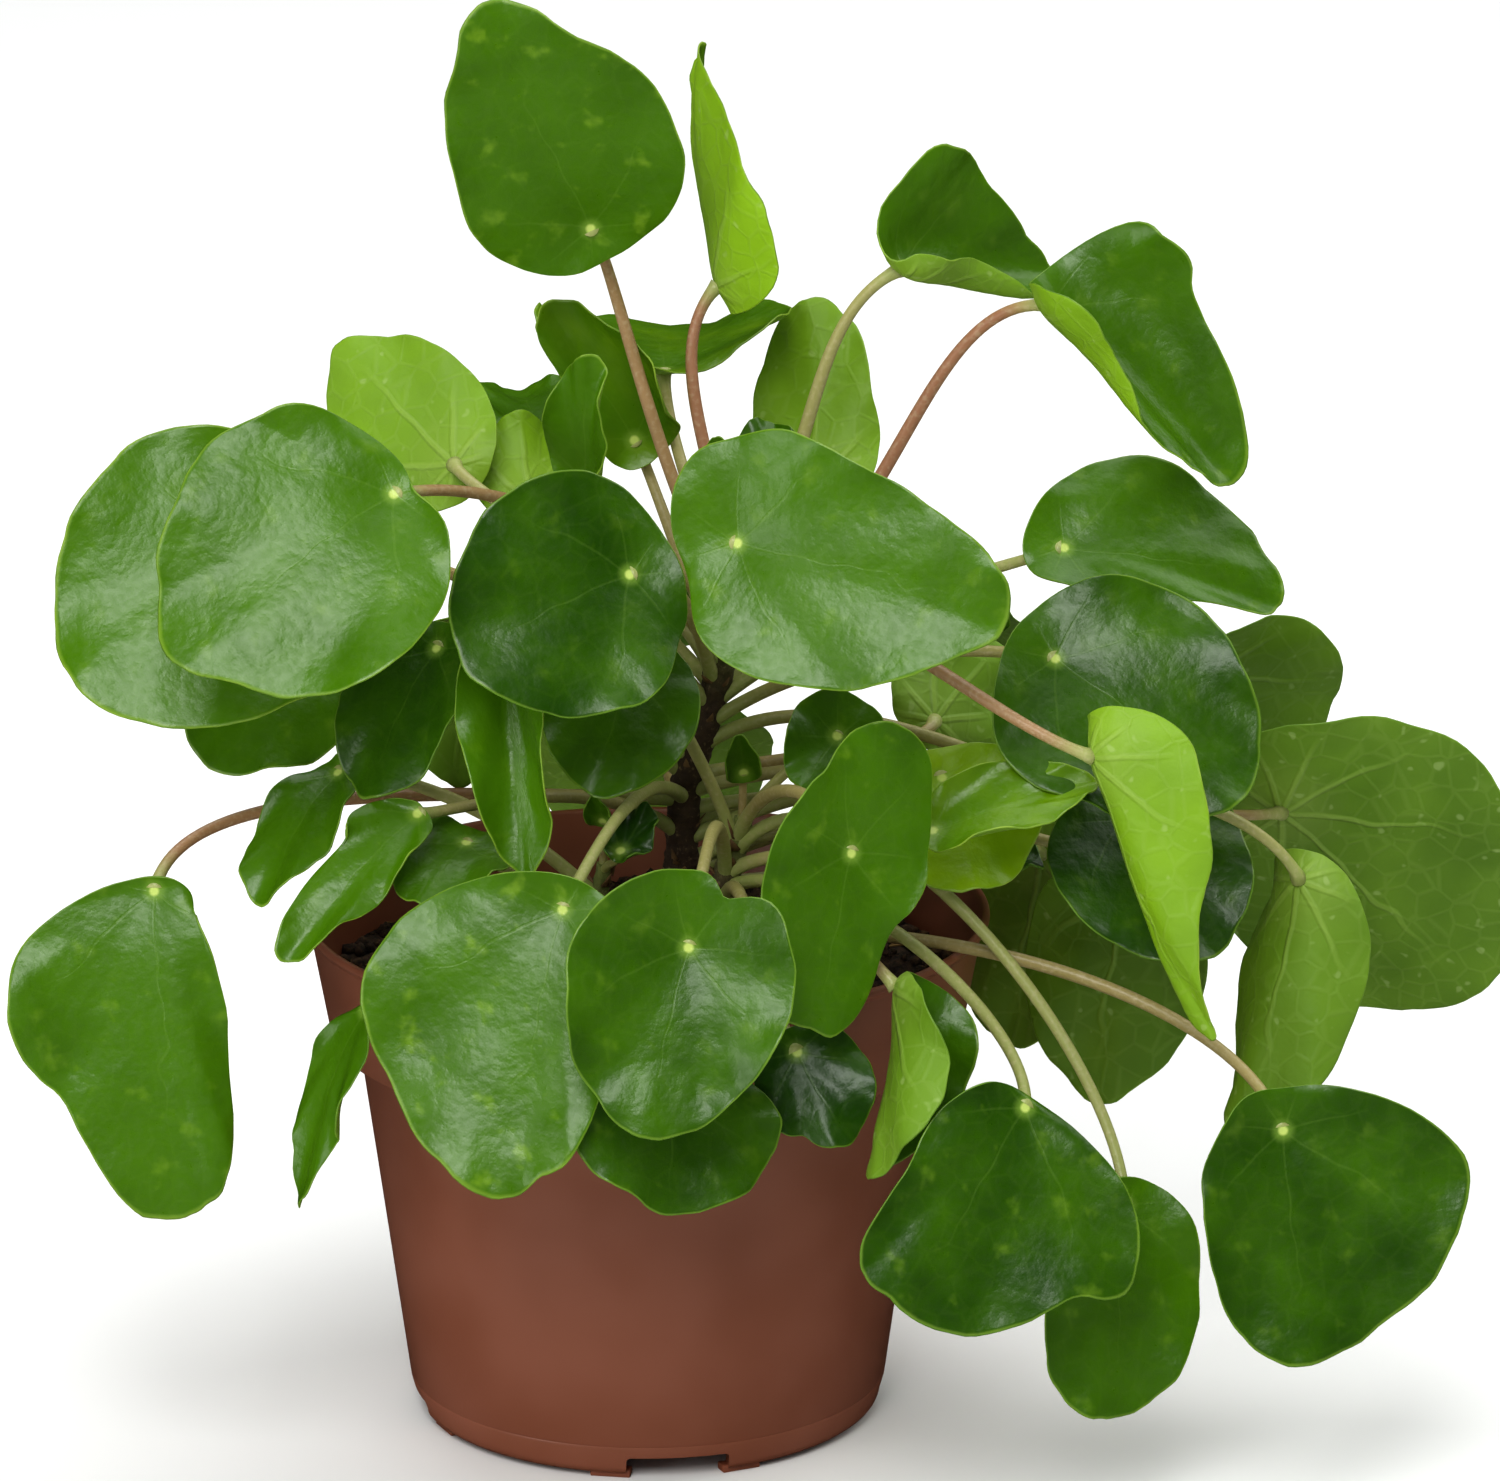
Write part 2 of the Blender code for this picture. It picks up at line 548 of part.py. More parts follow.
def make_blade(row, collection, axis):
    segments, rings = LARGE_MESH if (row.tip - row.hub).length > LARGE_LEAF else SMALL_MESH
    bm = bmesh.new()
    spoke = [bm.verts.new((share, 0, 0)) for share in rings]
    edges = [bm.edges.new(pair) for pair in zip(spoke, spoke[1:])]
    bmesh.ops.spin(
        bm, geom=spoke + edges, cent=(0, 0, 0), axis=(0, 0, 1), angle=math.tau, steps=segments, use_merge=True
    )
    bmesh.ops.remove_doubles(bm, verts=bm.verts, dist=1e-4)
    bmesh.ops.triangulate(bm, faces=bm.faces)
    for vertex in bm.verts:
        turn, share = math.atan2(vertex.co.x, vertex.co.y), math.hypot(vertex.co.x, vertex.co.y)
        vertex.co = blade_point(row, turn, share) * MM
    bm.normal_update()
    _, _, top = leaf_frame(row)
    if sum((face.normal * face.calc_area() for face in bm.faces), Vector()).dot(top) < 0:
        bmesh.ops.reverse_faces(bm, faces=bm.faces)
    mesh = bpy.data.meshes.new(row.name)
    bm.to_mesh(mesh)
    bm.free()
    blade = new_object(row.name, mesh, collection, axis)
    thick = blade.modifiers.new("thickness", "SOLIDIFY")
    thick.thickness = BLADE_THICKNESS * MM
    thick.offset = -1
    return blade


def stalk_line(row):
    """Points along a leaf's stalk, from the stem's middle line to just under the hub's top side."""
    foot = stem_axis(row.stem, row.foot)
    _, along, top = leaf_frame(row)
    level = Vector((row.hub.x - foot.x, row.hub.y - foot.y, 0)).normalized()
    rise = math.radians(row.rise)
    leave = level * math.cos(rise) + Vector((0, 0, math.sin(rise)))
    arrive = (top + row.hang * along).normalized()
    reach = (row.hub - foot).length
    first = foot + leave * reach * FOOT_SHARE
    last = row.hub - top * STALK_SINK
    second = last - arrive * reach * HUB_SHARE
    steps = LONG_STEPS if reach > LONG_STALK else SHORT_STEPS
    line = []
    for step in range(steps + 1):
        t = step / steps
        line.append(
            (1 - t) ** 3 * foot + 3 * t * (1 - t) ** 2 * first + 3 * t * t * (1 - t) * second + t**3 * last
        )
    return line


def make_leaf(row, parts, cutters, rooms, axis):
    blade = make_blade(row, parts, axis)
    line = stalk_line(row)
    taper = (STALK_TOP_RADIUS - STALK_FOOT_RADIUS) / (len(line) - 1)
    radii = [STALK_FOOT_RADIUS + taper * step for step in range(len(line))]
    stalk = tube(row.name + "_stalk", line, radii, STALK_SIDES, cutters, axis)
    hide_helper(stalk)
    boolean(stalk, rooms[row.stem], "DIFFERENCE")
    settle(stalk)
    boolean(blade, stalk, "UNION")
    blade.data.materials.append(finish("leaf_green"))
    settle(blade)
    bpy.data.objects.remove(stalk, do_unlink=True)
    smooth(blade, 60)


def main():
    clear_scene()
    parts = new_collection("potted_chinese_money_plant")
    cutters = new_collection("cutters")
    axis = bpy.data.objects.new("pot_axis", None)
    parts.objects.link(axis)
    axis.location = (POT_AXIS[0] * MM, POT_AXIS[1] * MM, 0)
    make_pot(parts, cutters, axis)
    rooms = make_stems(parts, cutters, axis)
    make_soil(parts, rooms, axis)
    for row in LEAVES:
        make_leaf(row, parts, cutters, rooms, axis)


main()
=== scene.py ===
"""The looks of a potted Chinese money plant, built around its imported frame.

Sizes are in millimetres from the pot's axis on the surface that it stands on, as in the part's own source: +X
right, +Y away from the front, +Z up. settle() turns them to metres in the frame.
"""

import json
import math
import random
from collections import namedtuple

import bmesh
import bpy
import numpy as np
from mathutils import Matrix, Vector

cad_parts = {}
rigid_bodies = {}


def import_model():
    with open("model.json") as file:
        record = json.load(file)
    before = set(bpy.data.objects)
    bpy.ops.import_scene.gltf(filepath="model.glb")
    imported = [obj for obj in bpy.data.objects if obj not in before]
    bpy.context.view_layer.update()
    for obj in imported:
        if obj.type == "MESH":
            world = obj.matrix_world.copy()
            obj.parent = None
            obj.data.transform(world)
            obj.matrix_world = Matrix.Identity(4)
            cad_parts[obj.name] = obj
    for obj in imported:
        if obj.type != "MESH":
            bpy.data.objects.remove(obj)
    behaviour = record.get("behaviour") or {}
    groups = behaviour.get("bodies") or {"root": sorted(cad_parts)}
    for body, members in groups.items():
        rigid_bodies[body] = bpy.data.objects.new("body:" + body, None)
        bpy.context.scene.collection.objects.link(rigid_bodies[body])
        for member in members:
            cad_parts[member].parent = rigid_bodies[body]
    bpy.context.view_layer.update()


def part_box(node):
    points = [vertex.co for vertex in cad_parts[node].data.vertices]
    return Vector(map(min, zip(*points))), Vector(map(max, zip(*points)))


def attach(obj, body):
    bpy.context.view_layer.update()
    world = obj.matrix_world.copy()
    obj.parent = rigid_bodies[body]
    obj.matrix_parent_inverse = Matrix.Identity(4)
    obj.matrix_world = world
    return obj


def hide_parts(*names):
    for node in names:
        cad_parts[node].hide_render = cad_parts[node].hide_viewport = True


for left_over in list(bpy.data.objects):
    bpy.data.objects.remove(left_over, do_unlink=True)
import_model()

MM = 0.001
pot_low, pot_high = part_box("pot")
POT_AXIS = np.array([(pot_low.x + pot_high.x) / 2, (pot_low.y + pot_high.y) / 2, 0]) / MM

# The photograph's view: the rise of the camera, its distance and what it looks at
CAMERA_RISE = 16.8
CAMERA_REACH = 1500.0
CAMERA_AIM = (18.1, 0.0, 121.6)
SENSOR = 36.0
FRAME_WIDTH = 1500
FOCUS_PIXELS = 8640

# Pot: a 12 cm nursery pot
POT_STEPS = 176
RIM_RADIUS = 60.0
POT_HEIGHT = 91.2
WALL = 1.1
LIP = 1.6
LIP_INSIDE = 3
LIP_OUTSIDE = (2.4, 2.8)
COLLAR_HEIGHT = 21.8
COLLAR_ROUNDING = 0.4
SHOULDER_ROUNDING = 0.5
COLLAR_FOOT_RADIUS = 55.3
BODY_TOP_RADIUS = 50.6
BASE_RADIUS = 41.2
CORNER = 2.5
INNER_CORNER = 1.5
FLOOR_HEIGHT = 5.0
FOOT_PAD = 0.7
SKIRT_WALL = 1.7
DRAIN_WIDTH = 18.0
DRAIN_HEIGHT = 4.4
DRAIN_DEPTH = 12.0
DRAIN_HEADINGS = (8.0, 98.0, 188.0, 278.0)
DRAIN_ROUNDING = 0.8
PAD_SIZE = (7.0, 2.6)
PAD_RADIUS = 38.2
PAD_TURN = 17.0
PAD_ROUNDING = 0.25
# The faint ring round the foot: half its width, and how much the wall widens over that
RING_HEIGHT = 6.5
RING_DEPTH = 0.18
RING_HALF = 0.5
RING_TAPER = 0.07
CRISP_EDGE = 35  # degrees of turn from which an edge of the pot stays crisp

# Soil: its level, the mound over that at each radius, and the height, size and seed of its bumps, which die down
# next to the wall
SOIL_HEIGHT = 79.0
SOIL_MOUND = ((0, 2), (12, 1.5), (24, 0), (36, -0.5), (46, 0), (57, -1))
SOIL_BUMPS = ((0.9, 15, 3), (0.5, 6, 5), (0.3, 2.6, 8))
SOIL_EDGE = 56
SOIL_STEPS = 150
SOIL_RING = 1.6
SOIL_GAP = 0.3
CRUMBS = 1500
CRUMB_SIZES = (0.5, 0.7, 0.9, 1.2, 1.8)
CRUMB_REACH = 55.0
FIBRES = 130
FIBRE_REACH = 52.0
FIBRE_EDGE = 54.5
FIBRE_LENGTH = (6, 18)
FIBRE_BOW = 3
FIBRE_RADIUS = (0.14, 0.32)

# Stems: (x, y, z) and radius along each of the trunk, its side shoot and a young offset beside it
STEMS = {
    "trunk": (
        ((5, 1, 58), 2.4), ((7, 1, 80), 3.1), ((6, 1, 100), 3.0), ((7, 0, 114), 2.8),
        ((11, 0, 127), 2.7), ((14, -1, 140), 2.3), ((15, -1, 151), 2.0), ((15, -1, 154), 1.2),
    ),
    "shoot": (((13, -12, 60), 1.6), ((12, -13, 84), 2.3), ((14, -14, 101), 2.5), ((17, -14, 112), 1.6)),
    "offset": (((-10, -22, 60), 1.2), ((-9, -23, 84), 1.8), ((-8, -24, 98), 1.7), ((-7, -24, 107), 1.2)),
}
STEM_SIDES = 30
STEM_STEP = 0.7
STEM_SMOOTHING = 9
# Dry scales on the stems: the lowest and highest, and how many
SCALES = (("trunk", 92, 152, 46), ("shoot", 86, 111, 18), ("offset", 84, 106, 12))

# Leaves: the blade's rings and steps, and its thickness at the hub and at the rim
BLADE_RINGS = (0, 0.03, 0.07, 0.12, 0.18, *(0.25 + 0.06 * ring for ring in range(12)), 0.95, 0.98, 1)
BLADE_STEPS = 96
HUB_THICKNESS = 0.85
RIM_THICKNESS = 0.3
RIM_BULGE = 0.006
HUB_PIT = 1.6
HUB_PIT_RADIUS = 7.0
TIP_POINT = 0.05
TIP_SHARPNESS = 8
# Slow swells and small nicks of every rim: how many go round, and their height as a share
RIM_SWELLS = ((3, 0.011), (5, 0.009), (8, 0.007), (13, 0.004), (21, 0.002), (33, 0.001))
RIM_WAVES = 5
RIM_CRIMPS = 17
CRIMP_HEIGHT = 0.12
# Height and size of the blade's bumps
BROAD_BUMPS = (0.3, 13)
FINE_BUMPS = (0.07, 4.5)

# Stalks: their radii, how they widen into the hub and the stem, how much slimmer a short one is, and the shares of
# their reach over which they keep the direction of their foot and hub
STALK_FOOT_RADIUS = 1.25
STALK_TOP_RADIUS = 0.95
HUB_FLARE = 0.6
HUB_FLARE_REACH = 2.0
FOOT_FLARE = 0.3
FOOT_FLARE_REACH = 2.5
SLIMMEST = 0.45
FULL_LENGTH = 90
STALK_OVAL = 0.03
STALK_STEPS = 44
STALK_SIDES = 14
FOOT_SHARE = 0.4
HUB_SHARE = 0.3
STALK_SINK = 0.45

Leaf = namedtuple(
    "Leaf", "number stem foot rise hang hub tip faces width back lean egg sides curl crease wave dents"
)


def leaf(
    number, stem, foot, rise, hub, tip, faces, width=0.9, back=0.2, lean=0.0, egg=0.12, sides=(12, 12),
    curl=-10, crease=1.0, wave=1.0, hang=0.8, dents=(),
):
    """One leaf: its stem, the height at which its stalk leaves it and the stalk's rise in degrees there; the
    hub, where the stalk meets the blade, and the blade's tip; the heading (0 is front, 90 is right) and rise of
    its top side; its width over its length; the share of its length behind the hub; how far its outline leans
    to its right; how much wider its back is than its front; how far its left and right sides and its length
    bend up, in degrees; how wide the bend is over the half width; the height of the waves in its rim; and how
    far the stalk comes down along the blade as it meets the hub, over how far it comes up through it. Each dent
    moves the rim in or out: its turn from the tip towards the right, its percentage and its width in degrees."""
    return Leaf(
        number, stem, foot, rise, hang, np.array(hub, float), np.array(tip, float), faces, width, back, lean, egg,
        sides, curl, crease, wave, dents,
    )


LEAVES = (
    # Top
    leaf(
        1, "trunk", 146, 62, (-9, -5, 214), (-26, -12, 253), (0, 5), 0.78, 0.13, 0.04, 0.25, (10, 14), -14,
        dents=((210, -5, 20),),
    ),
    leaf(
        2, "trunk", 149, 65, (13, 12, 200), (8, 18, 241), (100, 5), 0.85, 0.1, 0, 0.4, (40, 40), 32,
        dents=((205, 35, 22),),
    ),
    leaf(
        3, "trunk", 151, 50, (44, -8, 208), (72, 14, 198), (0, 50), 0.88, 0.14, -0.15, 0.5, (60, 125), 30, 0.6,
        dents=((208, 32, 24), (250, -10, 28), (285, -8, 25), (125, -32, 28)),
    ),
    leaf(
        4, "trunk", 142, 25, (69, -22, 205), (94, -28, 177), (45, 42), 0.9, 0.12, -0.15, 0.4, (65, 85), 0, 0.8,
        dents=((213, 26, 16), (275, -16, 25), (330, 18, 25), (135, 28, 28)),
    ),
    leaf(5, "trunk", 143, 55, (3, 28, 181), (1, 66, 178), (0, 75), 1.1, 0.15, 0, 0.1, (35, 35), 0),
    leaf(6, "trunk", 138, 45, (-2, 17, 171), (-17, 16, 195), (-20, 40), 0.75, 0.14, 0.3, 0.1, (0, 80), 0),
    leaf(7, "trunk", 140, 60, (-10, -22, 174), (-8, -26, 197), (-30, 10), 0.6, 0.1, 0, 0.1, (20, 60), 0),
    leaf(8, "trunk", 133, 45, (-20, 42, 167), (-23, 67, 166), (0, 70), 0.9, 0.1, 0, 0.1, (45, 45), 0),
    leaf(9, "trunk", 126, 50, (-20, 18, 159), (-22, 24, 174), (200, 20), sides=(10, 10), curl=0),
    leaf(10, "trunk", 131, 50, (-33, 15, 167), (-54, 34, 183), (200, 10), 0.78, 0.14, 0.05, 0.1, (10, 10), 10),
    leaf(
        20, "trunk", 134, 50, (29, 32, 158), (30, 48, 188), (165, 20), 0.62, 0.15, 0, 0.1, (15, 15), 0,
        dents=((285, -12, 25), (45, 10, 20)),
    ),
    leaf(21, "trunk", 143, 35, (22, 16, 164), (20, 24, 172), (0, 60)),
    # Left
    leaf(
        11, "trunk", 135, 60, (-41, -52, 180), (-75, -66, 158), (-10, 25), 1.05, 0.1, 0, 0.05, (10, 10), -15,
        dents=((0, 5, 20), (60, -6, 20), (132, 7, 18), (186, -42, 10)),
    ),
    leaf(
        12, "trunk", 125, 45, (-60, -28, 165), (-95, -40, 148), (-15, 24), 1.06, 0.2, 0, 0.1, (8, 16), -15,
        dents=((345, 7, 22),),
    ),
    leaf(13, "trunk", 118, 40, (-58, -8, 141), (-73, -20, 123), (-20, 20), 1.0, 0.2, 0, 0.1, (8, 8)),
    leaf(14, "trunk", 121, 50, (-35, -30, 147), (-46, -40, 124), (-40, 15), 0.82, 0.15, 0, 0.1, (10, 10)),
    leaf(
        15, "trunk", 127, 55, (-23, -43, 153), (-18, -58, 116), (-10, 0), 0.5, 0.1, 0, 0.1, (50, 40), 0, 0.3,
    ),
    leaf(
        49, "trunk", 111, 8, (-83, -40, 107), (-79, -52, 54), (-10, 10), 0.64, 0.04, 0.2, 0.1, (-60, 20),
        dents=((60, -12, 22), (143, 36, 26), (232, -38, 26), (300, 8, 20)),
    ),
    leaf(42, "offset", 100, 50, (-52, -30, 125), (-64, -46, 107), (-40, 20), 0.6, 0.1, 0, 0, (10, 10)),
    leaf(43, "offset", 92, 50, (-30, -38, 115), (-37, -54, 108), (-10, 60)),
    leaf(
        41, "trunk", 104, 40, (-38, -44, 122), (-60, -60, 102), (-15, 40), 0.52, 0.04, 0.1, 0, (30, 30), 0,
        dents=((75, -45, 35),),
    ),
    leaf(
        48, "offset", 88, 62, (-47, -52, 90), (-57, -56, 56), (-60, 10), 0.45, 0.02, 0, 0, (10, 10), hang=2,
        dents=((50, -14, 25), (310, -18, 28)),
    ),
    leaf(51, "trunk", 115, 40, (-31, -6, 134), (-33, -12, 118), (180, 10)),
    # Centre
    leaf(
        16, "trunk", 131, 60, (-2, -48, 165), (-30, -62, 156), (0, 20), 1.03, 0.2, 0, 0.1, (10, 10),
        dents=((150, 12, 20), (225, -10, 18)),
    ),
    leaf(
        17, "trunk", 137, 60, (16, -50, 171), (60, -62, 164), (5, 14), 0.74, 0.21, 0, 0.2, (6, 16),
        dents=((155, -32, 22), (205, 12, 14), (285, -18, 35)),
    ),
    leaf(18, "shoot", 107, 70, (-2, -26, 142), (-9, -38, 124), (0, 15), 0.95, 0.22, 0, 0.1, (10, 10)),
    leaf(
        44, "trunk", 111, 30, (-13, -72, 114), (-24, -88, 71), (-10, 20), 0.82, 0.11, 0.17, 0.15, (5, 5), 8,
        dents=((200, -10, 20), (300, 8, 20)),
    ),
    leaf(
        45, "shoot", 101, 60, (8, -86, 112), (0, -96, 84), (5, 20), 0.9, 0.3, 0, 0.1, (25, 25), 10,
        dents=((193, -26, 9), (215, 7, 12)),
    ),
    leaf(
        46, "shoot", 90, 55, (5, -74, 84), (4, -84, 65), (22, 20), 1.38, 0.2, 0, 0.1, (5, 5), hang=2,
        dents=((30, -8, 15),),
    ),
    leaf(
        47, "shoot", 96, 50, (26, -66, 87), (34, -72, 73), (10, 15), 0.9, 0.2, 0, 0.1, (-10, -10), 0, hang=2,
        dents=((45, -10, 12),),
    ),
    leaf(
        35, "shoot", 108, 55, (35, -63, 121), (27, -73, 92), (30, 10), 0.62, 0.42, 0, 0.1, (10, 10), 0,
        dents=((240, -14, 22), (258, -10, 15), (292, -28, 26), (0, -10, 20), (135, -18, 25)),
    ),
    leaf(36, "shoot", 111, 60, (33, -25, 130), (27, -31, 122), (0, 30), 0.9, 0.4, sides=(20, 20), curl=0),
    leaf(50, "offset", 105, 60, (-4, -30, 111), (1, -24, 116), (-20, 50), 0.8, sides=(15, 15), curl=0),
    # Right
    leaf(
        22, "trunk", 128, 40, (72, -6, 158), (108, -2, 149), (0, 45), 0.6, 0.16, -0.2, 0.2, (5, 5), -20,
        dents=((45, 10, 25),),
    ),
    leaf(
        23, "trunk", 124, 40, (70, -26, 144), (100, -36, 122), (15, 30), 0.96, 0.18, 0, 0.1, (10, 10), -5,
        dents=((70, -10, 30), (150, -6, 20)),
    ),
    leaf(
        24, "trunk", 138, 50, (76, -50, 134), (94, -60, 87), (110, 10), 0.5, 0.13, 0.1, 0.5, (60, 60), 25, 0.5,
        dents=((150, 26, 22), (190, -12, 15), (60, -12, 30)),
    ),
    leaf(25, "trunk", 120, 40, (82, -18, 113), (95, -34, 93), (20, 20), 1.0, 0.2, 0, 0.1, (10, 10), -5),
    leaf(26, "trunk", 106, 12, (98, 38, 122), (115, 50, 102), (170, 10), 1.2, 0.2, 0, 0.1, (10, 10)),
    leaf(
        27, "trunk", 109, 10, (111, 6, 107), (145, 16, 70), (170, 20), 0.95, 0.24, 0, 0.05, (10, 10), -5,
        dents=((255, -20, 35),),
    ),
    leaf(28, "trunk", 103, 30, (113, -18, 102), (103, -26, 58), (140, 0), 0.6, 0.1, 0, 0.2, (40, 40), 0, 0.6),
    leaf(
        29, "shoot", 90, 15, (108, -60, 71), (111, -68, 33), (10, 20), 0.93, 0.19, -0.15, 0.05, (10, 10), 10,
        dents=((30, -5, 15), (135, -14, 24), (180, -18, 20), (236, 12, 30)),
    ),
    leaf(
        30, "shoot", 99, 30, (64, -74, 80), (43, -89, 51), (15, 15), 1.02, 0.05, -0.2, 0.05, (10, 10), -5,
        dents=((50, 10, 25), (207, 46, 20), (232, 14, 15), (258, 8, 16), (292, -10, 18)),
    ),
    leaf(
        31, "shoot", 105, 56, (82, -53, 55), (78, -63, 20), (20, 10), 0.7, 0.12, 0, 0, (10, 10), 0, hang=3,
        dents=((220, 12, 25), (0, -6, 14)),
    ),
    leaf(32, "trunk", 99, 25, (84, 6, 94), (78, 8, 54), (160, 10), 0.75, 0.1, 0, 0.1, (10, 10), -5),
    leaf(33, "trunk", 96, 30, (70, 26, 93), (63, 34, 55), (150, 10), 0.6, 0.2, 0, 0.1, (10, 10), -5),
    leaf(
        34, "shoot", 93, 30, (43, -62, 97), (37, -70, 67), (85, 0), 1.1, 0.08, 0, 0.1, (100, 60), 0, 0.8,
        dents=((222, 25, 30),),
    ),
    leaf(37, "shoot", 102, 35, (49, -44, 119), (76, -43, 126), (0, 60), 0.6, 0.1, 0, 0.1, (40, 40), 0),
    leaf(38, "trunk", 112, 25, (51, -20, 121), (58, -34, 105), (10, 40), 1.1, curl=0),
    leaf(39, "trunk", 115, 12, (50, 7, 123), (62, 16, 134), (170, 10), 1.0, curl=0),
    leaf(40, "trunk", 93, 20, (58, 8, 99), (67, -8, 99), (0, 70), 0.6, curl=0),
    leaf(52, "trunk", 129, 40, (56, 36, 136), (60, 44, 127), (0, 20), curl=0),
    # Back
    leaf(53, "trunk", 120, 50, (1, 52, 135), (-7, 84, 112), (185, 35), 1.0),
    leaf(54, "trunk", 123, 50, (40, 50, 134), (54, 78, 112), (150, 35), 1.0),
    leaf(55, "trunk", 114, 45, (-38, 44, 128), (-60, 70, 106), (220, 35), 1.0),
    leaf(56, "trunk", 98, 50, (0, 66, 104), (-4, 90, 72), (180, 25), 0.95),
)

# Looks of the leaves that differ from a plain mid-green one: the tone of the top side and of the underside, from
# 0, deep blue-green, to 1, yellow-green; how mottled it is; and how pink-brown its stalk is. The tones are partly
# each leaf's own green and partly painted light: low tones paint the shade on leaves that lie in shadow, and high
# underside tones paint the light that shines through a back-lit blade
PLAIN_LOOK = (0.4, 0.45, 0.3, 0.5)
LOOKS_WITH_PAINTED_LIGHT = {
    1: (0.42, 0.5, 0.8, 0.7),
    2: (0.6, 0.95, 0.3, 0.9),
    3: (0.48, 0.7, 0.3, 0.25),
    4: (0.38, 0.8, 0.4, 0.9),
    5: (0.6, 0.6, 0.2, 0.3),
    6: (0.6, 0.75, 0.3, 0.4),
    7: (0.5, 0.55, 0.2, 0.3),
    8: (0.5, 0.5, 0.2, 0.3),
    9: (0.6, 0.8, 0.2, 0.2),
    10: (0.5, 0.72, 0.3, 0.2),
    11: (0.42, 0.5, 0.3, 0.7),
    12: (0.5, 0.5, 0.2, 0.5),
    13: (0.4, 0.45, 0.5, 0.5),
    14: (0.2, 0.3, 0.2, 0.5),
    15: (0.5, 0.6, 0.2, 0.5),
    16: (0.18, 0.5, 0.2, 0.3),
    17: (0.42, 0.5, 0.4, 0.2),
    18: (0.3, 0.3, 0.2, 0.2),
    20: (0.5, 0.72, 0.3, 0.3),
    21: (0.25, 0.4, 0.2, 0.3),
    22: (0.38, 0.6, 0.4, 0.1),
    23: (0.25, 0.45, 0.2, 0.3),
    24: (0.7, 0.78, 0.2, 0.75),
    25: (0.15, 0.4, 0.2, 0.3),
    26: (0.4, 0.5, 0.3, 0.6),
    27: (0.35, 0.4, 0.3, 0.6),
    28: (0.35, 0.5, 0.3, 0.2),
    29: (0.22, 0.45, 0.3, 0.45),
    30: (0.2, 0.45, 0.5, 0.1),
    31: (0.36, 0.3, 0.4, 0.1),
    32: (0.4, 0.4, 0.6, 0.3),
    33: (0.4, 0.4, 0.4, 0.3),
    34: (0.3, 0.55, 0.2, 0.8),
    35: (0.38, 0.5, 0.5, 0.4),
    36: (0.35, 0.5, 0.3, 0.2),
    37: (0.66, 0.55, 0.3, 0.3),
    38: (0.8, 0.8, 0.5, 0.3),
    39: (0.55, 0.5, 0.9, 0.5),
    40: (0.15, 0.4, 0.2, 0.3),
    41: (0.5, 0.5, 0.4, 0.3),
    42: (0.38, 0.5, 0.2, 0.2),
    43: (0.4, 0.5, 0.2, 0.2),
    44: (0.4, 0.5, 0.9, 0.1),
    45: (0.28, 0.5, 0.3, 0.3),
    46: (0.22, 0.3, 0.3, 0.3),
    47: (0.12, 0.3, 0.2, 0.3),
    48: (0.4, 0.5, 0.2, 0.3),
    49: (0.45, 0.5, 0.5, 0.8),
    50: (0.12, 0.3, 0.2, 0.2),
    51: (0.5, 0.6, 0.2, 0.3),
    52: (0.35, 0.45, 0.2, 0.3),
}

# Young leaves that still stand folded in the crowns
YOUNG_LEAVES = (
    leaf(61, "trunk", 151, 80, (14, -4, 167), (13, -6, 178), (-20, 20), 0.7, 0.2, sides=(60, 60), wave=0.2),
    leaf(62, "trunk", 150, 70, (20, -5, 162), (24, -8, 170), (40, 25), 0.8, 0.2, sides=(55, 55), wave=0.2),
    leaf(63, "shoot", 111, 80, (17, -17, 121), (16, -20, 129), (0, 20), 0.75, 0.2, sides=(60, 60), wave=0.2),
    leaf(64, "offset", 106, 80, (-7, -26, 115), (-8, -29, 121), (-20, 25), 0.75, 0.2, sides=(55, 55), wave=0.2),
)

# Studio: each soft box's name, place in metres, size and power, and the light of the room
SOFT_BOXES = (
    ("key_softbox", (-0.33, -1.68, 1.66), (1.15, 1.25), 32),
    ("left_softbox", (-1.75, -1.45, 0.35), (1.0, 1.2), 13),
    ("right_softbox", (1.7, 0.4, 1.6), (1.2, 1.4), 12),
    ("top_softbox", (0.1, 0.6, 2.0), (2.0, 2.0), 24),
)
LIT_POINT = (0, 0, 0.12)
ROOM_LIGHT = 0.35
PAPER_REACH = 8


# Materials


def linear(hex_colour):
    """A #rrggbb sRGB colour as linear red, green, blue and full alpha."""
    parts = [int(hex_colour[at:at + 2], 16) / 255 for at in (1, 3, 5)]
    return (*(part / 12.92 if part <= 0.04045 else ((part + 0.055) / 1.055) ** 2.4 for part in parts), 1)


def add(tree, kind, links, **settings):
    """A node of a kind with its settings, and for each of its inputs a value, a #rrggbb colour or another node's
    socket."""
    made = tree.nodes.new("ShaderNode" + kind)
    for name, value in settings.items():
        setattr(made, name, value)
    for name, value in links.items():
        if isinstance(value, bpy.types.NodeSocket):
            tree.links.new(value, made.inputs[name])
        else:
            made.inputs[name].default_value = linear(value) if isinstance(value, str) else value
    return made


def maths(tree, operation, first, second=0.0):
    return add(tree, "Math", {0: first, 1: second}, operation=operation).outputs[0]


def times(tree, first, second):
    return maths(tree, "MULTIPLY", first, second)


def band(tree, value, low, high, start=0.0, end=1.0):
    """A smooth step from start to end as the value goes from low to high."""
    links = {"Value": value, "From Min": low, "From Max": high, "To Min": start, "To Max": end}
    return add(tree, "MapRange", links, interpolation_type="SMOOTHSTEP").outputs["Result"]


def blend(tree, share, first, second):
    """One colour over another by a share."""
    return add(tree, "Mix", {0: share, 6: first, 7: second}, data_type="RGBA").outputs[2]


def noise(tree, place, size, detail=2.0, roughness=0.5):
    """Soft noise whose bumps are about a size apart, in the units of the place."""
    links = {"Vector": place, "Scale": 1 / size, "Detail": detail, "Roughness": roughness}
    return add(tree, "TexNoise", links).outputs["Fac"]


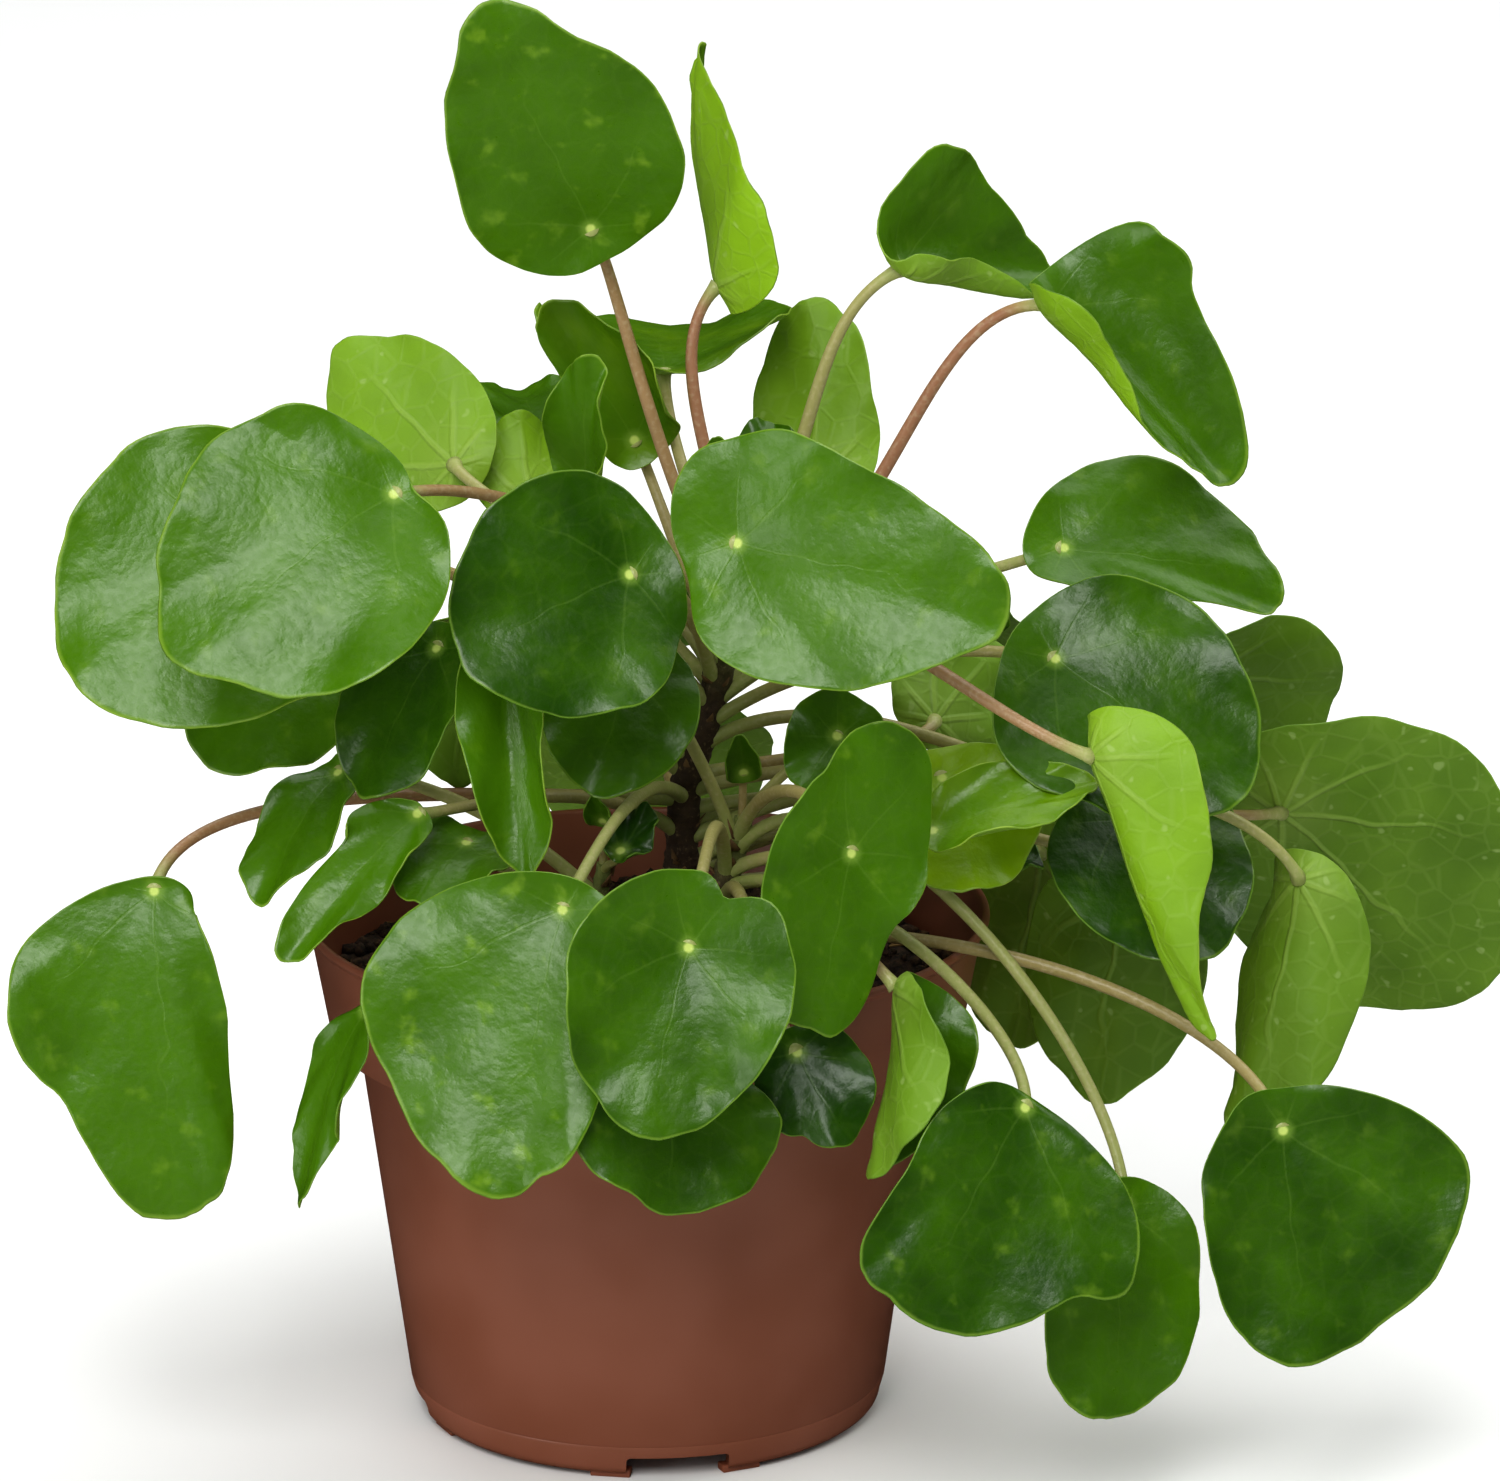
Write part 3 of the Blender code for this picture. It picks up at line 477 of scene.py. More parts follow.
def new_material(name):
    made = bpy.data.materials.new(name)
    made.use_nodes = True
    made.node_tree.nodes.clear()
    return made, made.node_tree


def finish(tree, links):
    """The skin that a material's tree ends in."""
    add(tree, "OutputMaterial", {"Surface": add(tree, "BsdfPrincipled", links).outputs[0]})


def marks(tree, name):
    """The three numbers that a mesh carries under a name."""
    return add(tree, "SeparateXYZ", {
        "Vector": add(tree, "Attribute", {}, attribute_name=name).outputs["Vector"],
    }).outputs


def relief(tree, height, depth):
    """A bump of a depth in millimetres."""
    return add(tree, "Bump", {"Height": height, "Distance": depth * MM, "Strength": 1.0}).outputs["Normal"]


def leaf_places(tree):
    """What the leaf materials read from the mesh: the place from the hub in millimetres, the share of the way to
    the rim, and the looks."""
    across, ahead, share = marks(tree, "place")
    flat = add(tree, "CombineXYZ", {"X": across, "Y": ahead}).outputs[0]
    return across, ahead, share, flat, marks(tree, "looks")


def veins(tree, across, ahead, share, flat, count, narrow, wide):
    """Lines that run out from the hub, thinner towards the rim: 1 on a line and 0 off it."""
    squares = maths(tree, "ADD", maths(tree, "POWER", across, 2), maths(tree, "POWER", ahead, 2))
    distance = maths(tree, "SQRT", squares)
    ray = times(tree, maths(tree, "ARCTAN2", across, ahead), count / math.tau)
    sway = maths(tree, "SUBTRACT", noise(tree, flat, 14.0, 1.0), 0.5)
    ray = maths(tree, "ADD", ray, times(tree, sway, 0.5))
    off = times(tree, maths(tree, "PINGPONG", ray, 0.5), distance)
    gap = times(tree, off, math.tau / count)
    line = band(tree, gap, narrow, wide, 1.0, 0.0)
    return times(tree, line, band(tree, share, 0.35, 0.95, 1.0, 0.0)), distance


def net(tree, flat, size):
    """The fine net between the veins: 1 on a thread and 0 off it."""
    links = {"Vector": flat, "Scale": 1 / size}
    cells = add(tree, "TexVoronoi", links, feature="DISTANCE_TO_EDGE").outputs["Distance"]
    return band(tree, cells, 0.01, 0.09, 1.0, 0.0)


def leaf_cuticle():
    """Top side of a fleshy leaf: a smooth waxy skin, faintly quilted between its veins, that shines broadly and
    greys where it does; deep green with soft yellow-green mottles, a pale dot over the stalk and a pale rim. Its
    green follows each leaf's tone, which is partly painted shade, darker on leaves that lie in shadow."""
    made, tree = new_material("leaf_cuticle")
    across, ahead, share, flat, (tone, _, mottle) = leaf_places(tree)
    line, distance = veins(tree, across, ahead, share, flat, 7, 0.08, 0.3)
    cloud = times(tree, maths(tree, "SUBTRACT", noise(tree, flat, 16.0), 0.5), 0.5)
    # The tone moves this green between deep blue-green and yellow-green and partly paints the shade on leaves in
    # shadow
    shade = maths(tree, "ADD", tone, cloud)
    colour = blend(tree, band(tree, shade, 0.0, 0.5), "#1a3d00", "#467000")
    colour = blend(tree, band(tree, shade, 0.5, 1.0), colour, "#8db000")
    spots = band(tree, noise(tree, flat, 6.0, 3.0), 0.56, 0.74)
    spots = times(tree, spots, times(tree, mottle, 0.5))
    colour = blend(tree, spots, colour, "#84a52c")
    threads = net(tree, flat, 4.5)
    colour = blend(tree, times(tree, threads, 0.025), colour, "#7d9f3c")
    colour = blend(tree, times(tree, line, 0.07), colour, "#84a548")
    colour = blend(tree, band(tree, distance, 0.7, 2.6, 0.5, 0.0), colour, "#83a340")
    colour = blend(tree, band(tree, distance, 0.5, 1.1, 0.8, 0.0), colour, "#c3d472")
    edge = band(tree, maths(tree, "ADD", share, times(tree, cloud, 0.06)), 0.985, 1.0)
    colour = blend(tree, times(tree, edge, 0.45), colour, "#86a43a")
    wrinkle = noise(tree, flat, 1.6, 2.0)
    height = maths(tree, "ADD", wrinkle, times(tree, noise(tree, flat, 4.5, 1.0), 1.6))
    height = maths(tree, "SUBTRACT", height, times(tree, line, 0.15))
    finish(tree, {
        "Base Color": colour,
        "Roughness": band(tree, wrinkle, 0.2, 0.8, 0.27, 0.38),
        "IOR": 1.45,
        "Normal": relief(tree, height, 0.11),
    })
    return made


def leaf_underside():
    """Underside of the leaf: paler and duller than the top, with raised veins, a lighter patch round the stalk
    and small pale pores. Its green follows each leaf's underside tone, which partly paints the light that shines
    through a back-lit blade as a brighter yellow-green."""
    made, tree = new_material("leaf_underside")
    across, ahead, share, flat, (_, tone, _) = leaf_places(tree)
    line, distance = veins(tree, across, ahead, share, flat, 9, 0.2, 0.8)
    cloud = times(tree, maths(tree, "SUBTRACT", noise(tree, flat, 18.0), 0.5), 0.35)
    # The underside tone partly paints light shining through a back-lit blade, brighter and yellower
    shade = maths(tree, "ADD", tone, cloud)
    colour = blend(tree, band(tree, shade, 0.1, 0.6), "#355a00", "#6c9020")
    colour = blend(tree, band(tree, shade, 0.6, 1.0), colour, "#86b004")
    threads = net(tree, flat, 5.0)
    colour = blend(tree, times(tree, threads, 0.1), colour, "#93ad58")
    colour = blend(tree, times(tree, line, 0.35), colour, "#97b354")
    colour = blend(tree, band(tree, distance, 2.0, 14.0, 0.3, 0.0), colour, "#94ad4c")
    pores = band(tree, noise(tree, flat, 3.2, 1.0), 0.66, 0.74)
    colour = blend(tree, times(tree, pores, 0.25), colour, "#b3c684")
    height = maths(tree, "ADD", times(tree, line, 1.2), times(tree, threads, 0.3))
    height = maths(tree, "ADD", height, noise(tree, flat, 2.4, 2.0))
    finish(tree, {
        "Base Color": colour,
        "Roughness": 0.52,
        "IOR": 1.42,
        "Normal": relief(tree, height, 0.16),
    })
    return made


def leaf_rim():
    """Cut edge of the leaf: a thin pale line of translucent flesh with no green skin."""
    made, tree = new_material("leaf_rim")
    _, _, _, flat, (tone, _, _) = leaf_places(tree)
    # The top tone that sets this colour partly paints the shade on leaves in shadow
    colour = blend(tree, band(tree, tone, 0.1, 0.8), "#5f8420", "#90ad35")
    colour = blend(tree, band(tree, noise(tree, flat, 5.0), 0.35, 0.65, 0.0, 0.6), colour, "#4a7210")
    finish(tree, {"Base Color": colour, "Roughness": 0.45})
    return made


def stalk_skin():
    """Leaf stalk: smooth, half glossy and fleshy, pink-brown where the sun browned it and pale green by the leaf
    and at its foot, with fine lengthwise streaks."""
    made, tree = new_material("stalk_skin")
    along, _, _ = marks(tree, "place")
    blush, _, tone = marks(tree, "looks")
    place = add(tree, "TexCoord", {}).outputs["Object"]
    # The pale green follows the leaf's top tone and so carries that leaf's painted shade
    fresh = blend(tree, tone, "#8f9a55", "#a9ae6e")
    brown = blend(tree, noise(tree, place, 6 * MM), "#8d5b45", "#a8745c")
    middle = times(tree, band(tree, along, 0.02, 0.25), band(tree, along, 0.86, 1.0, 1.0, 0.0))
    share = times(tree, middle, blush)
    colour = blend(tree, share, fresh, brown)
    streaks = noise(tree, place, 0.9 * MM, 3.0)
    colour = blend(tree, band(tree, streaks, 0.45, 0.8, 0.0, 0.35), colour, "#c3b494")
    finish(tree, {
        "Base Color": colour,
        "Roughness": 0.4,
        "Normal": relief(tree, streaks, 0.1),
    })
    return made


def stem_bark():
    """Young bark of the stem: dull, dark brown and corky, ringed by scars and greener near its top."""
    made, tree = new_material("stem_bark")
    along, _, _ = marks(tree, "place")
    place = add(tree, "TexCoord", {}).outputs["Object"]
    cork = noise(tree, place, 1.4 * MM, 5.0, 0.65)
    colour = blend(tree, cork, "#1d150f", "#5c4632")
    flecks = band(tree, noise(tree, place, 0.8 * MM, 2.0), 0.6, 0.75, 0.0, 0.6)
    colour = blend(tree, flecks, colour, "#8a7657")
    green = blend(tree, cork, "#4e5a26", "#8b9350")
    colour = blend(tree, band(tree, along, 0.72, 1.0), colour, green)
    finish(tree, {
        "Base Color": colour,
        "Roughness": 0.8,
        "Normal": relief(tree, cork, 0.5),
    })
    return made


def dry_scale():
    """Papery scales that the leaves leave at the foot of their stalks: thin, brown and dull."""
    made, tree = new_material("dry_scale")
    place = add(tree, "TexCoord", {}).outputs["Object"]
    colour = blend(tree, noise(tree, place, 1.5 * MM), "#4a3320", "#8f7048")
    finish(tree, {"Base Color": colour, "Roughness": 0.75})
    return made


def potting_soil():
    """Moist peat soil: near black in its hollows, red-brown on its crumbs, matt."""
    made, tree = new_material("potting_soil")
    place = add(tree, "TexCoord", {}).outputs["Object"]
    grains = noise(tree, place, 1.8 * MM, 6.0, 0.65)
    colour = blend(tree, band(tree, grains, 0.3, 0.7), "#1b120c", "#4d3724")
    bits = band(tree, noise(tree, place, 3.5 * MM, 3.0), 0.6, 0.72, 0.0, 0.7)
    colour = blend(tree, bits, colour, "#6e5334")
    finish(tree, {
        "Base Color": colour,
        "Roughness": 0.95,
        "Normal": relief(tree, grains, 1.0),
    })
    return made


def soil_fibre():
    """Strands and husk in the soil: dull straw brown."""
    made, tree = new_material("soil_fibre")
    place = add(tree, "TexCoord", {}).outputs["Object"]
    colour = blend(tree, noise(tree, place, 4 * MM), "#5b4222", "#9a7c48")
    finish(tree, {"Base Color": colour, "Roughness": 0.85})
    return made


def moulded_polypropylene():
    """Injection-moulded polypropylene: terracotta brown with a satin skin, a faint orange-peel and slight
    cloudiness of the pigment."""
    made, tree = new_material("moulded_polypropylene")
    place = add(tree, "TexCoord", {}).outputs["Object"]
    cloud = noise(tree, place, 30 * MM, 2.0)
    colour = blend(tree, band(tree, cloud, 0.3, 0.7), "#7b4934", "#85523e")
    peel = noise(tree, place, 0.7 * MM, 2.0)
    finish(tree, {
        "Base Color": colour,
        "Roughness": band(tree, cloud, 0.3, 0.7, 0.36, 0.42),
        "IOR": 1.49,
        "Normal": relief(tree, peel, 0.012),
    })
    return made


def studio_paper():
    """White background paper, matt."""
    made, tree = new_material("studio_paper")
    finish(tree, {"Base Color": "#f4f4f2", "Roughness": 0.9})
    return made


# Shapes


def ripple(x, y, size, seed):
    """Smooth bumps from about -1 to 1, a size apart, made by waves that cross."""
    draw = random.Random(seed)
    total = np.zeros_like(x)
    waves = 6
    for _ in range(waves):
        heading, phase, length = draw.uniform(0, math.tau), draw.uniform(0, math.tau), size * draw.uniform(0.7, 1.5)
        total += np.sin((x * math.cos(heading) + y * math.sin(heading)) * math.tau / length + phase)
    return total / math.sqrt(waves)


def coordinates(mesh):
    flat = np.empty(len(mesh.vertices) * 3)
    mesh.vertices.foreach_get("co", flat)
    return flat.reshape(-1, 3)


def move(mesh, points):
    mesh.vertices.foreach_set("co", np.asarray(points, float).ravel())
    mesh.update()


def label(mesh, name, values):
    """Three numbers for each vertex, under a name that the materials read."""
    numbers = np.asarray(values, float).ravel()
    mesh.attributes.new(name, "FLOAT_VECTOR", "POINT").data.foreach_set("vector", numbers)


def mesh_of(bm, name):
    mesh = bpy.data.meshes.new(name)
    bm.to_mesh(mesh)
    bm.free()
    return mesh


def spun(line, steps):
    """A bmesh turned about the axis from (radius, height) points."""
    bm = bmesh.new()
    row = [bm.verts.new((radius, 0, height)) for radius, height in line]
    edges = [bm.edges.new(pair) for pair in zip(row, row[1:])]
    bmesh.ops.spin(
        bm, geom=row + edges, cent=(0, 0, 0), axis=(0, 0, 1), angle=math.tau, steps=steps, use_merge=True
    )
    bmesh.ops.remove_doubles(bm, verts=bm.verts, dist=1e-4)
    bmesh.ops.recalc_face_normals(bm, faces=bm.faces)
    return bm


def tube(line, radius, sides):
    """A closed tube along a line of points, with the share of its length and of its turn at each vertex. The
    radius is a function of those two."""
    line = np.asarray([line[0], *line, line[-1]], float)
    bm = bmesh.new()
    bmesh.ops.create_grid(bm, x_segments=sides, y_segments=len(line) - 1, size=0.5)
    mesh = mesh_of(bm, "tube")
    grid = coordinates(mesh)
    turn, row = (grid[:, 0] + 0.5) * math.tau, np.rint((grid[:, 1] + 0.5) * (len(line) - 1)).astype(int)
    ways = np.gradient(line[1:-1], axis=0)
    ways = np.vstack([ways[:1], ways, ways[-1:]])
    ways /= np.linalg.norm(ways, axis=1)[:, None]
    side = np.cross(ways[0], (0, 0, 1) if abs(ways[0][2]) < 0.9 else (1, 0, 0))
    first = []
    for way in ways:
        side = side - side.dot(way) * way
        side /= np.linalg.norm(side)
        first.append(side)
    first = np.array(first)
    second = np.cross(ways, first)
    along = (row - 1).clip(0, len(line) - 3) / (len(line) - 3)
    reach = radius(along, turn) * ((row > 0) & (row < len(line) - 1))
    ring = np.cos(turn)[:, None] * first[row] + np.sin(turn)[:, None] * second[row]
    move(mesh, line[row] + ring * reach[:, None])
    label(mesh, "place", np.stack([along, turn / math.tau, np.zeros_like(along)], 1))
    bm = bmesh.new()
    bm.from_mesh(mesh)
    bpy.data.meshes.remove(mesh)
    bmesh.ops.remove_doubles(bm, verts=bm.verts, dist=1e-4)
    bmesh.ops.recalc_face_normals(bm, faces=bm.faces)
    return mesh_of(bm, "tube")


def joined(name, meshes):
    """One mesh of several, which are used up."""
    bm = bmesh.new()
    for mesh in meshes:
        bm.from_mesh(mesh)
        bpy.data.meshes.remove(mesh)
    return mesh_of(bm, name)


def put(name, data):
    """A new object in the scene."""
    made = bpy.data.objects.new(name, data)
    bpy.context.scene.collection.objects.link(made)
    return made


def settle(name, mesh, materials, nodes=()):
    """A finished mesh in its place in the frame, riding on the plant's one body and standing for its nodes."""
    move(mesh, (coordinates(mesh) + POT_AXIS) * MM)
    for made in materials:
        mesh.materials.append(made)
    mesh.shade_smooth()
    piece = put(name, mesh)
    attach(piece, "root")
    if nodes:
        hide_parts(*nodes)
    return piece


# Leaves


def direction(heading, rise):
    """The way that a heading and a rise in degrees point."""
    heading, rise = math.radians(heading), math.radians(rise)
    return np.array([math.sin(heading) * math.cos(rise), -math.cos(heading) * math.cos(rise), math.sin(rise)])


def leaf_frame(row):
    """Right, tip and top directions of a blade at its hub."""
    along = (row.tip - row.hub) / np.linalg.norm(row.tip - row.hub)
    top = direction(*row.faces)
    top = top - top.dot(along) * along
    top /= np.linalg.norm(top)
    return np.cross(along, top), along, top


def bend(distance, reach, angle, crease):
    """A flat strip that bends by an angle, never quite nought, over a part of its reach: along, up and turn so
    far."""
    curved = reach * crease
    turn = np.radians(np.where(np.abs(angle) < 0.01, 0.01, angle))
    radius = curved / turn
    so_far = turn * np.minimum(distance / curved, 1.0)
    beyond = np.maximum(distance - curved, 0.0)
    return (
        radius * np.sin(so_far) + beyond * np.cos(so_far),
        radius * (1 - np.cos(so_far)) + beyond * np.sin(so_far),
        so_far,
    )


def rim_shape(row, turn):
    """How far the rim stands out or in at each turn, as a share: its dents, slow swells and small nicks."""
    draw = random.Random(row.number * 7)
    total = np.zeros_like(turn)
    for middle, amount, reach in row.dents:
        off = (np.degrees(turn) - middle + 180) % 360 - 180
        total += amount / 100 * np.exp(-((off / reach) ** 2))
    for count, height in RIM_SWELLS:
        total += height * np.sin(count * turn + draw.uniform(0, math.tau))
    return total


def blade_surface(row, across, ahead):
    """Points of a blade's top side, and the same points on the flat blade, from places on a round blank."""
    share, turn = np.hypot(across, ahead), np.arctan2(across, ahead)
    length = np.linalg.norm(row.tip - row.hub) / (1 - row.back)
    half, wide = length / 2, length * row.width / 2
    grown = share * (1 + rim_shape(row, turn) * share**2)
    point = TIP_POINT * half * np.maximum(np.cos(turn), 0) ** TIP_SHARPNESS
    x = grown * (wide * np.sin(turn) * (1 - row.egg * np.cos(turn)) + 2 * row.lean * wide * np.sin(turn) ** 2)
    y = grown * (half * np.cos(turn) + point + length * (0.5 - row.back))
    lift = HUB_PIT * (1 - np.exp(-((np.hypot(x, y) / HUB_PIT_RADIUS) ** 2)))
    lift += row.wave * share**3 * np.sin(RIM_WAVES * turn + row.hub[0])
    crimps = CRIMP_HEIGHT * share**6 * np.sin(RIM_CRIMPS * turn + row.hub[1])
    lift += row.wave * (crimps + BROAD_BUMPS[0] * share**2 * ripple(x, y, BROAD_BUMPS[1], row.number))
    lift += FINE_BUMPS[0] * share * ripple(x, y, FINE_BUMPS[1], row.number + 500)
    sideways, up, tilt = bend(np.abs(x), wide, np.where(x > 0, row.sides[1], row.sides[0]), row.crease)
    sideways = np.sign(x) * (sideways - lift * np.sin(tilt))
    up = up + lift * np.cos(tilt)
    forward = y
    arch = math.radians(row.curl) / length
    if abs(arch) > 1e-6:
        turned = arch * y
        forward, up = np.sin(turned) / arch - up * np.sin(turned), (1 - np.cos(turned)) / arch + up * np.cos(turned)
        level = -math.radians(row.curl) * (1 - row.back) / 2
        forward, up = (
            forward * math.cos(level) - up * math.sin(level),
            forward * math.sin(level) + up * math.cos(level),
        )
    right, along, top = leaf_frame(row)
    points = row.hub + sideways[:, None] * right + forward[:, None] * along + up[:, None] * top
    return points, np.stack([x, y, share], 1)


def blade_blank():
    """A flat round blank of unit radius whose height is minus the depth under the top side, as a share."""
    line = [(share, 0.0) for share in BLADE_RINGS]
    line += [(1 + RIM_BULGE, -0.5)]
    line += [(share, -1.0) for share in reversed(BLADE_RINGS)]
    bm = spun(line, BLADE_STEPS)
    for face in bm.faces:
        heights = [vertex.co.z for vertex in face.verts]
        if max(heights) - min(heights) > 0.1:
            face.material_index = 2
        elif heights[0] < -0.6:
            face.material_index = 1
    return mesh_of(bm, "blade_blank")


def make_blade(row, blank, look):
    """A blade shaped from the blank: its top side, and its thickness under it."""
    mesh = blank.copy()
    across, ahead, height = coordinates(mesh).T
    points, flat = blade_surface(row, across, ahead)
    step = 0.01
    rightward = blade_surface(row, across + step, ahead)[0] - blade_surface(row, across - step, ahead)[0]
    tipward = blade_surface(row, across, ahead + step)[0] - blade_surface(row, across, ahead - step)[0]
    normal = np.cross(rightward, tipward)
    normal /= np.linalg.norm(normal, axis=1)[:, None]
    thick = HUB_THICKNESS + (RIM_THICKNESS - HUB_THICKNESS) * np.hypot(across, ahead) ** 2
    move(mesh, points + normal * (height * thick)[:, None])
    label(mesh, "place", flat)
    label(mesh, "looks", np.tile(look[:3], (len(points), 1)))
    return mesh


def stem_point(stem, height):
    """The point of a stem's middle line at a height."""
    line = np.array([place for place, _ in STEMS[stem]], float)
    return np.array([np.interp(height, line[:, 2], line[:, axis]) for axis in range(3)])


def stalk_line(row):
    """Points along a leaf's stalk, from the stem's middle line to just under the hub's top side."""
    foot = stem_point(row.stem, row.foot)
    _, along, top = leaf_frame(row)
    level = np.array([row.hub[0] - foot[0], row.hub[1] - foot[1], 0])
    level /= np.linalg.norm(level)
    rise = math.radians(row.rise)
    leave = level * math.cos(rise) + np.array([0, 0, math.sin(rise)])
    arrive = top + row.hang * along
    arrive /= np.linalg.norm(arrive)
    reach = np.linalg.norm(row.hub - foot)
    first = foot + leave * reach * FOOT_SHARE
    last = row.hub - top * STALK_SINK
    second = last - arrive * reach * HUB_SHARE
    t = np.linspace(0, 1, STALK_STEPS + 1)[:, None]
    return (1 - t) ** 3 * foot + 3 * t * (1 - t) ** 2 * first + 3 * t**2 * (1 - t) * second + t**3 * last


def make_stalk(row, look):
    """A stalk that widens where it leaves the stem and where it meets the hub."""
    line = stalk_line(row)
    length = np.linalg.norm(np.diff(line, axis=0), axis=1).sum()
    slim = min(1.0, SLIMMEST + length / FULL_LENGTH)

    def radius(along, turn):
        plain = STALK_FOOT_RADIUS + (STALK_TOP_RADIUS - STALK_FOOT_RADIUS) * along
        foot = FOOT_FLARE * np.exp(-along * length / FOOT_FLARE_REACH)
        hub = HUB_FLARE * np.exp(-(1 - along) * length / HUB_FLARE_REACH)
        return (plain + foot + hub) * slim + STALK_OVAL * np.sin(2 * turn + 9 * along)

    mesh = tube(line, radius, STALK_SIDES)
    label(mesh, "looks", np.tile((look[3], 0, look[0]), (len(mesh.vertices), 1)))
    mesh.polygons.foreach_set("material_index", np.full(len(mesh.polygons), 3, np.int32))
    return mesh


def make_leaves(rows, materials, blank, stand_for):
    """Leaves, each one mesh of its blade and stalk, which stand for the frame's own or are added to them."""
    for row in rows:
        look = LOOKS_WITH_PAINTED_LIGHT.get(row.number, PLAIN_LOOK)
        mesh = joined(f"money_leaf_{row.number:02d}", [make_blade(row, blank, look), make_stalk(row, look)])
        nodes = [f"leaf_{row.number:02d}"] if stand_for else []
        settle(mesh.name, mesh, materials, nodes)


# Stems


def make_stem(name, bark, seed):
    """A stem with its corky ridges and the rings of old scars."""
    knots = np.array([place for place, _ in STEMS[name]], float)
    radii = np.array([radius for _, radius in STEMS[name]])
    heights = np.arange(knots[0][2], knots[-1][2] + 0.01, STEM_STEP)
    line = np.stack([np.interp(heights, knots[:, 2], knots[:, axis]) for axis in range(3)], 1)
    widths = np.interp(heights, knots[:, 2], radii)
    smooth, cut = np.ones(STEM_SMOOTHING) / STEM_SMOOTHING, STEM_SMOOTHING // 2
    for axis in range(2):
        line[cut:-cut, axis] = np.convolve(line[:, axis], smooth, "valid")

    def radius(along, turn):
        plain = np.interp(along, np.linspace(0, 1, len(widths)), widths)
        height = along * (heights[-1] - heights[0])
        scars = 0.10 * np.maximum(np.sin(height * 1.9 + 2 * np.sin(turn + seed)), 0) ** 3
        lumps = 0.10 * ripple(2.5 * np.cos(turn) + height, 2.5 * np.sin(turn) - height * 0.4, 5.0, seed)
        return plain * (0.98 + scars + lumps)

    mesh = tube(line, radius, STEM_SIDES)
    settle("bark_of_" + name, mesh, [bark], [name])


def make_scales(material, draw):
    """Dry scales that clasp the stems where stalks have left them."""
    bm = bmesh.new()
    for stem, low, high, count in SCALES:
        for _ in range(count):
            height, heading = draw.uniform(low, high), draw.uniform(0, math.tau)
            made = bmesh.ops.create_cone(
                bm, cap_ends=True, segments=7, radius1=draw.uniform(0.9, 1.5), radius2=0.05,
                depth=draw.uniform(2.5, 5.0),
            )["verts"]
            bmesh.ops.scale(bm, vec=(1, 0.35, 1), verts=made)
            bmesh.ops.translate(bm, vec=(0, 0, 1.5), verts=made)
            lean = math.radians(draw.uniform(15, 50))
            turned = direction(math.degrees(heading), 0)
            place = stem_point(stem, height) + turned * 1.9
            for vertex in made:
                x, y, z = vertex.co
                out = y * math.cos(lean) + z * math.sin(lean)
                up = z * math.cos(lean) - y * math.sin(lean)
                side = np.array([-turned[1], turned[0], 0])
                vertex.co = Vector(place + side * x + turned * out + np.array([0, 0, up]))
    bmesh.ops.recalc_face_normals(bm, faces=bm.faces)
    settle("crown_scales", mesh_of(bm, "crown_scales"), [material])


# Soil


def soil_top(x, y):
    """Height of the soil's surface."""
    radius = np.hypot(x, y)
    mound = np.interp(radius, [at for at, _ in SOIL_MOUND], [height for _, height in SOIL_MOUND])
    rough = sum(height * ripple(x, y, size, seed) for height, size, seed in SOIL_BUMPS)
    return SOIL_HEIGHT + mound + rough * np.clip((SOIL_EDGE - radius) / 6, 0.2, 1)


def wall_radius(height):
    """The pot's outer radius at a height, on its body or on its collar."""
    collar_foot = POT_HEIGHT - COLLAR_HEIGHT
    if height >= collar_foot:
        return np.interp(height, (collar_foot, POT_HEIGHT), (COLLAR_FOOT_RADIUS, RIM_RADIUS - LIP / 2))
    return np.interp(height, (0, collar_foot), (BASE_RADIUS, BODY_TOP_RADIUS))


def make_soil(material):
    """The bed of soil, a hair clear of the pot's wall and floor."""
    collar_foot = POT_HEIGHT - COLLAR_HEIGHT
    rim = wall_radius(SOIL_HEIGHT - 1) - WALL - 0.1
    foot = wall_radius(FLOOR_HEIGHT) - WALL
    line = [(radius, SOIL_HEIGHT) for radius in [*np.arange(0, rim, SOIL_RING), rim]]
    line += [
        (COLLAR_FOOT_RADIUS - WALL - SOIL_GAP, collar_foot + WALL),
        (wall_radius(collar_foot - 0.1) - WALL - SOIL_GAP, collar_foot),
        (foot - SOIL_GAP, FLOOR_HEIGHT + WALL + 2),
        (foot - 2.3, FLOOR_HEIGHT + WALL + SOIL_GAP),
        (0, FLOOR_HEIGHT + WALL + SOIL_GAP),
    ]
    mesh = mesh_of(spun(line, SOIL_STEPS), "soil_bed")
    points = coordinates(mesh)
    upper = np.abs(points[:, 2] - SOIL_HEIGHT) < 0.01
    points[upper, 2] = soil_top(points[upper, 0], points[upper, 1])
    move(mesh, points)
    settle("soil_bed", mesh, [material], ["soil"])


def make_crumbs(material, draw):
    """Loose crumbs of soil on the bed."""
    bm = bmesh.new()
    for _ in range(CRUMBS):
        size = draw.choice(CRUMB_SIZES) * draw.uniform(0.7, 1.2)
        radius, heading = CRUMB_REACH * math.sqrt(draw.random()), draw.uniform(0, math.tau)
        x, y = radius * math.cos(heading), radius * math.sin(heading)
        made = bmesh.ops.create_icosphere(bm, subdivisions=1, radius=size)["verts"]
        for vertex in made:
            vertex.co *= draw.uniform(0.75, 1.2)
        squash = (draw.uniform(0.7, 1.3), draw.uniform(0.7, 1.3), draw.uniform(0.6, 1.0))
        bmesh.ops.scale(bm, vec=squash, verts=made)
        height = float(soil_top(np.array([x]), np.array([y]))[0])
        bmesh.ops.translate(bm, vec=(x, y, height + size * 0.3), verts=made)
    settle("soil_crumbs", mesh_of(bm, "soil_crumbs"), [material])


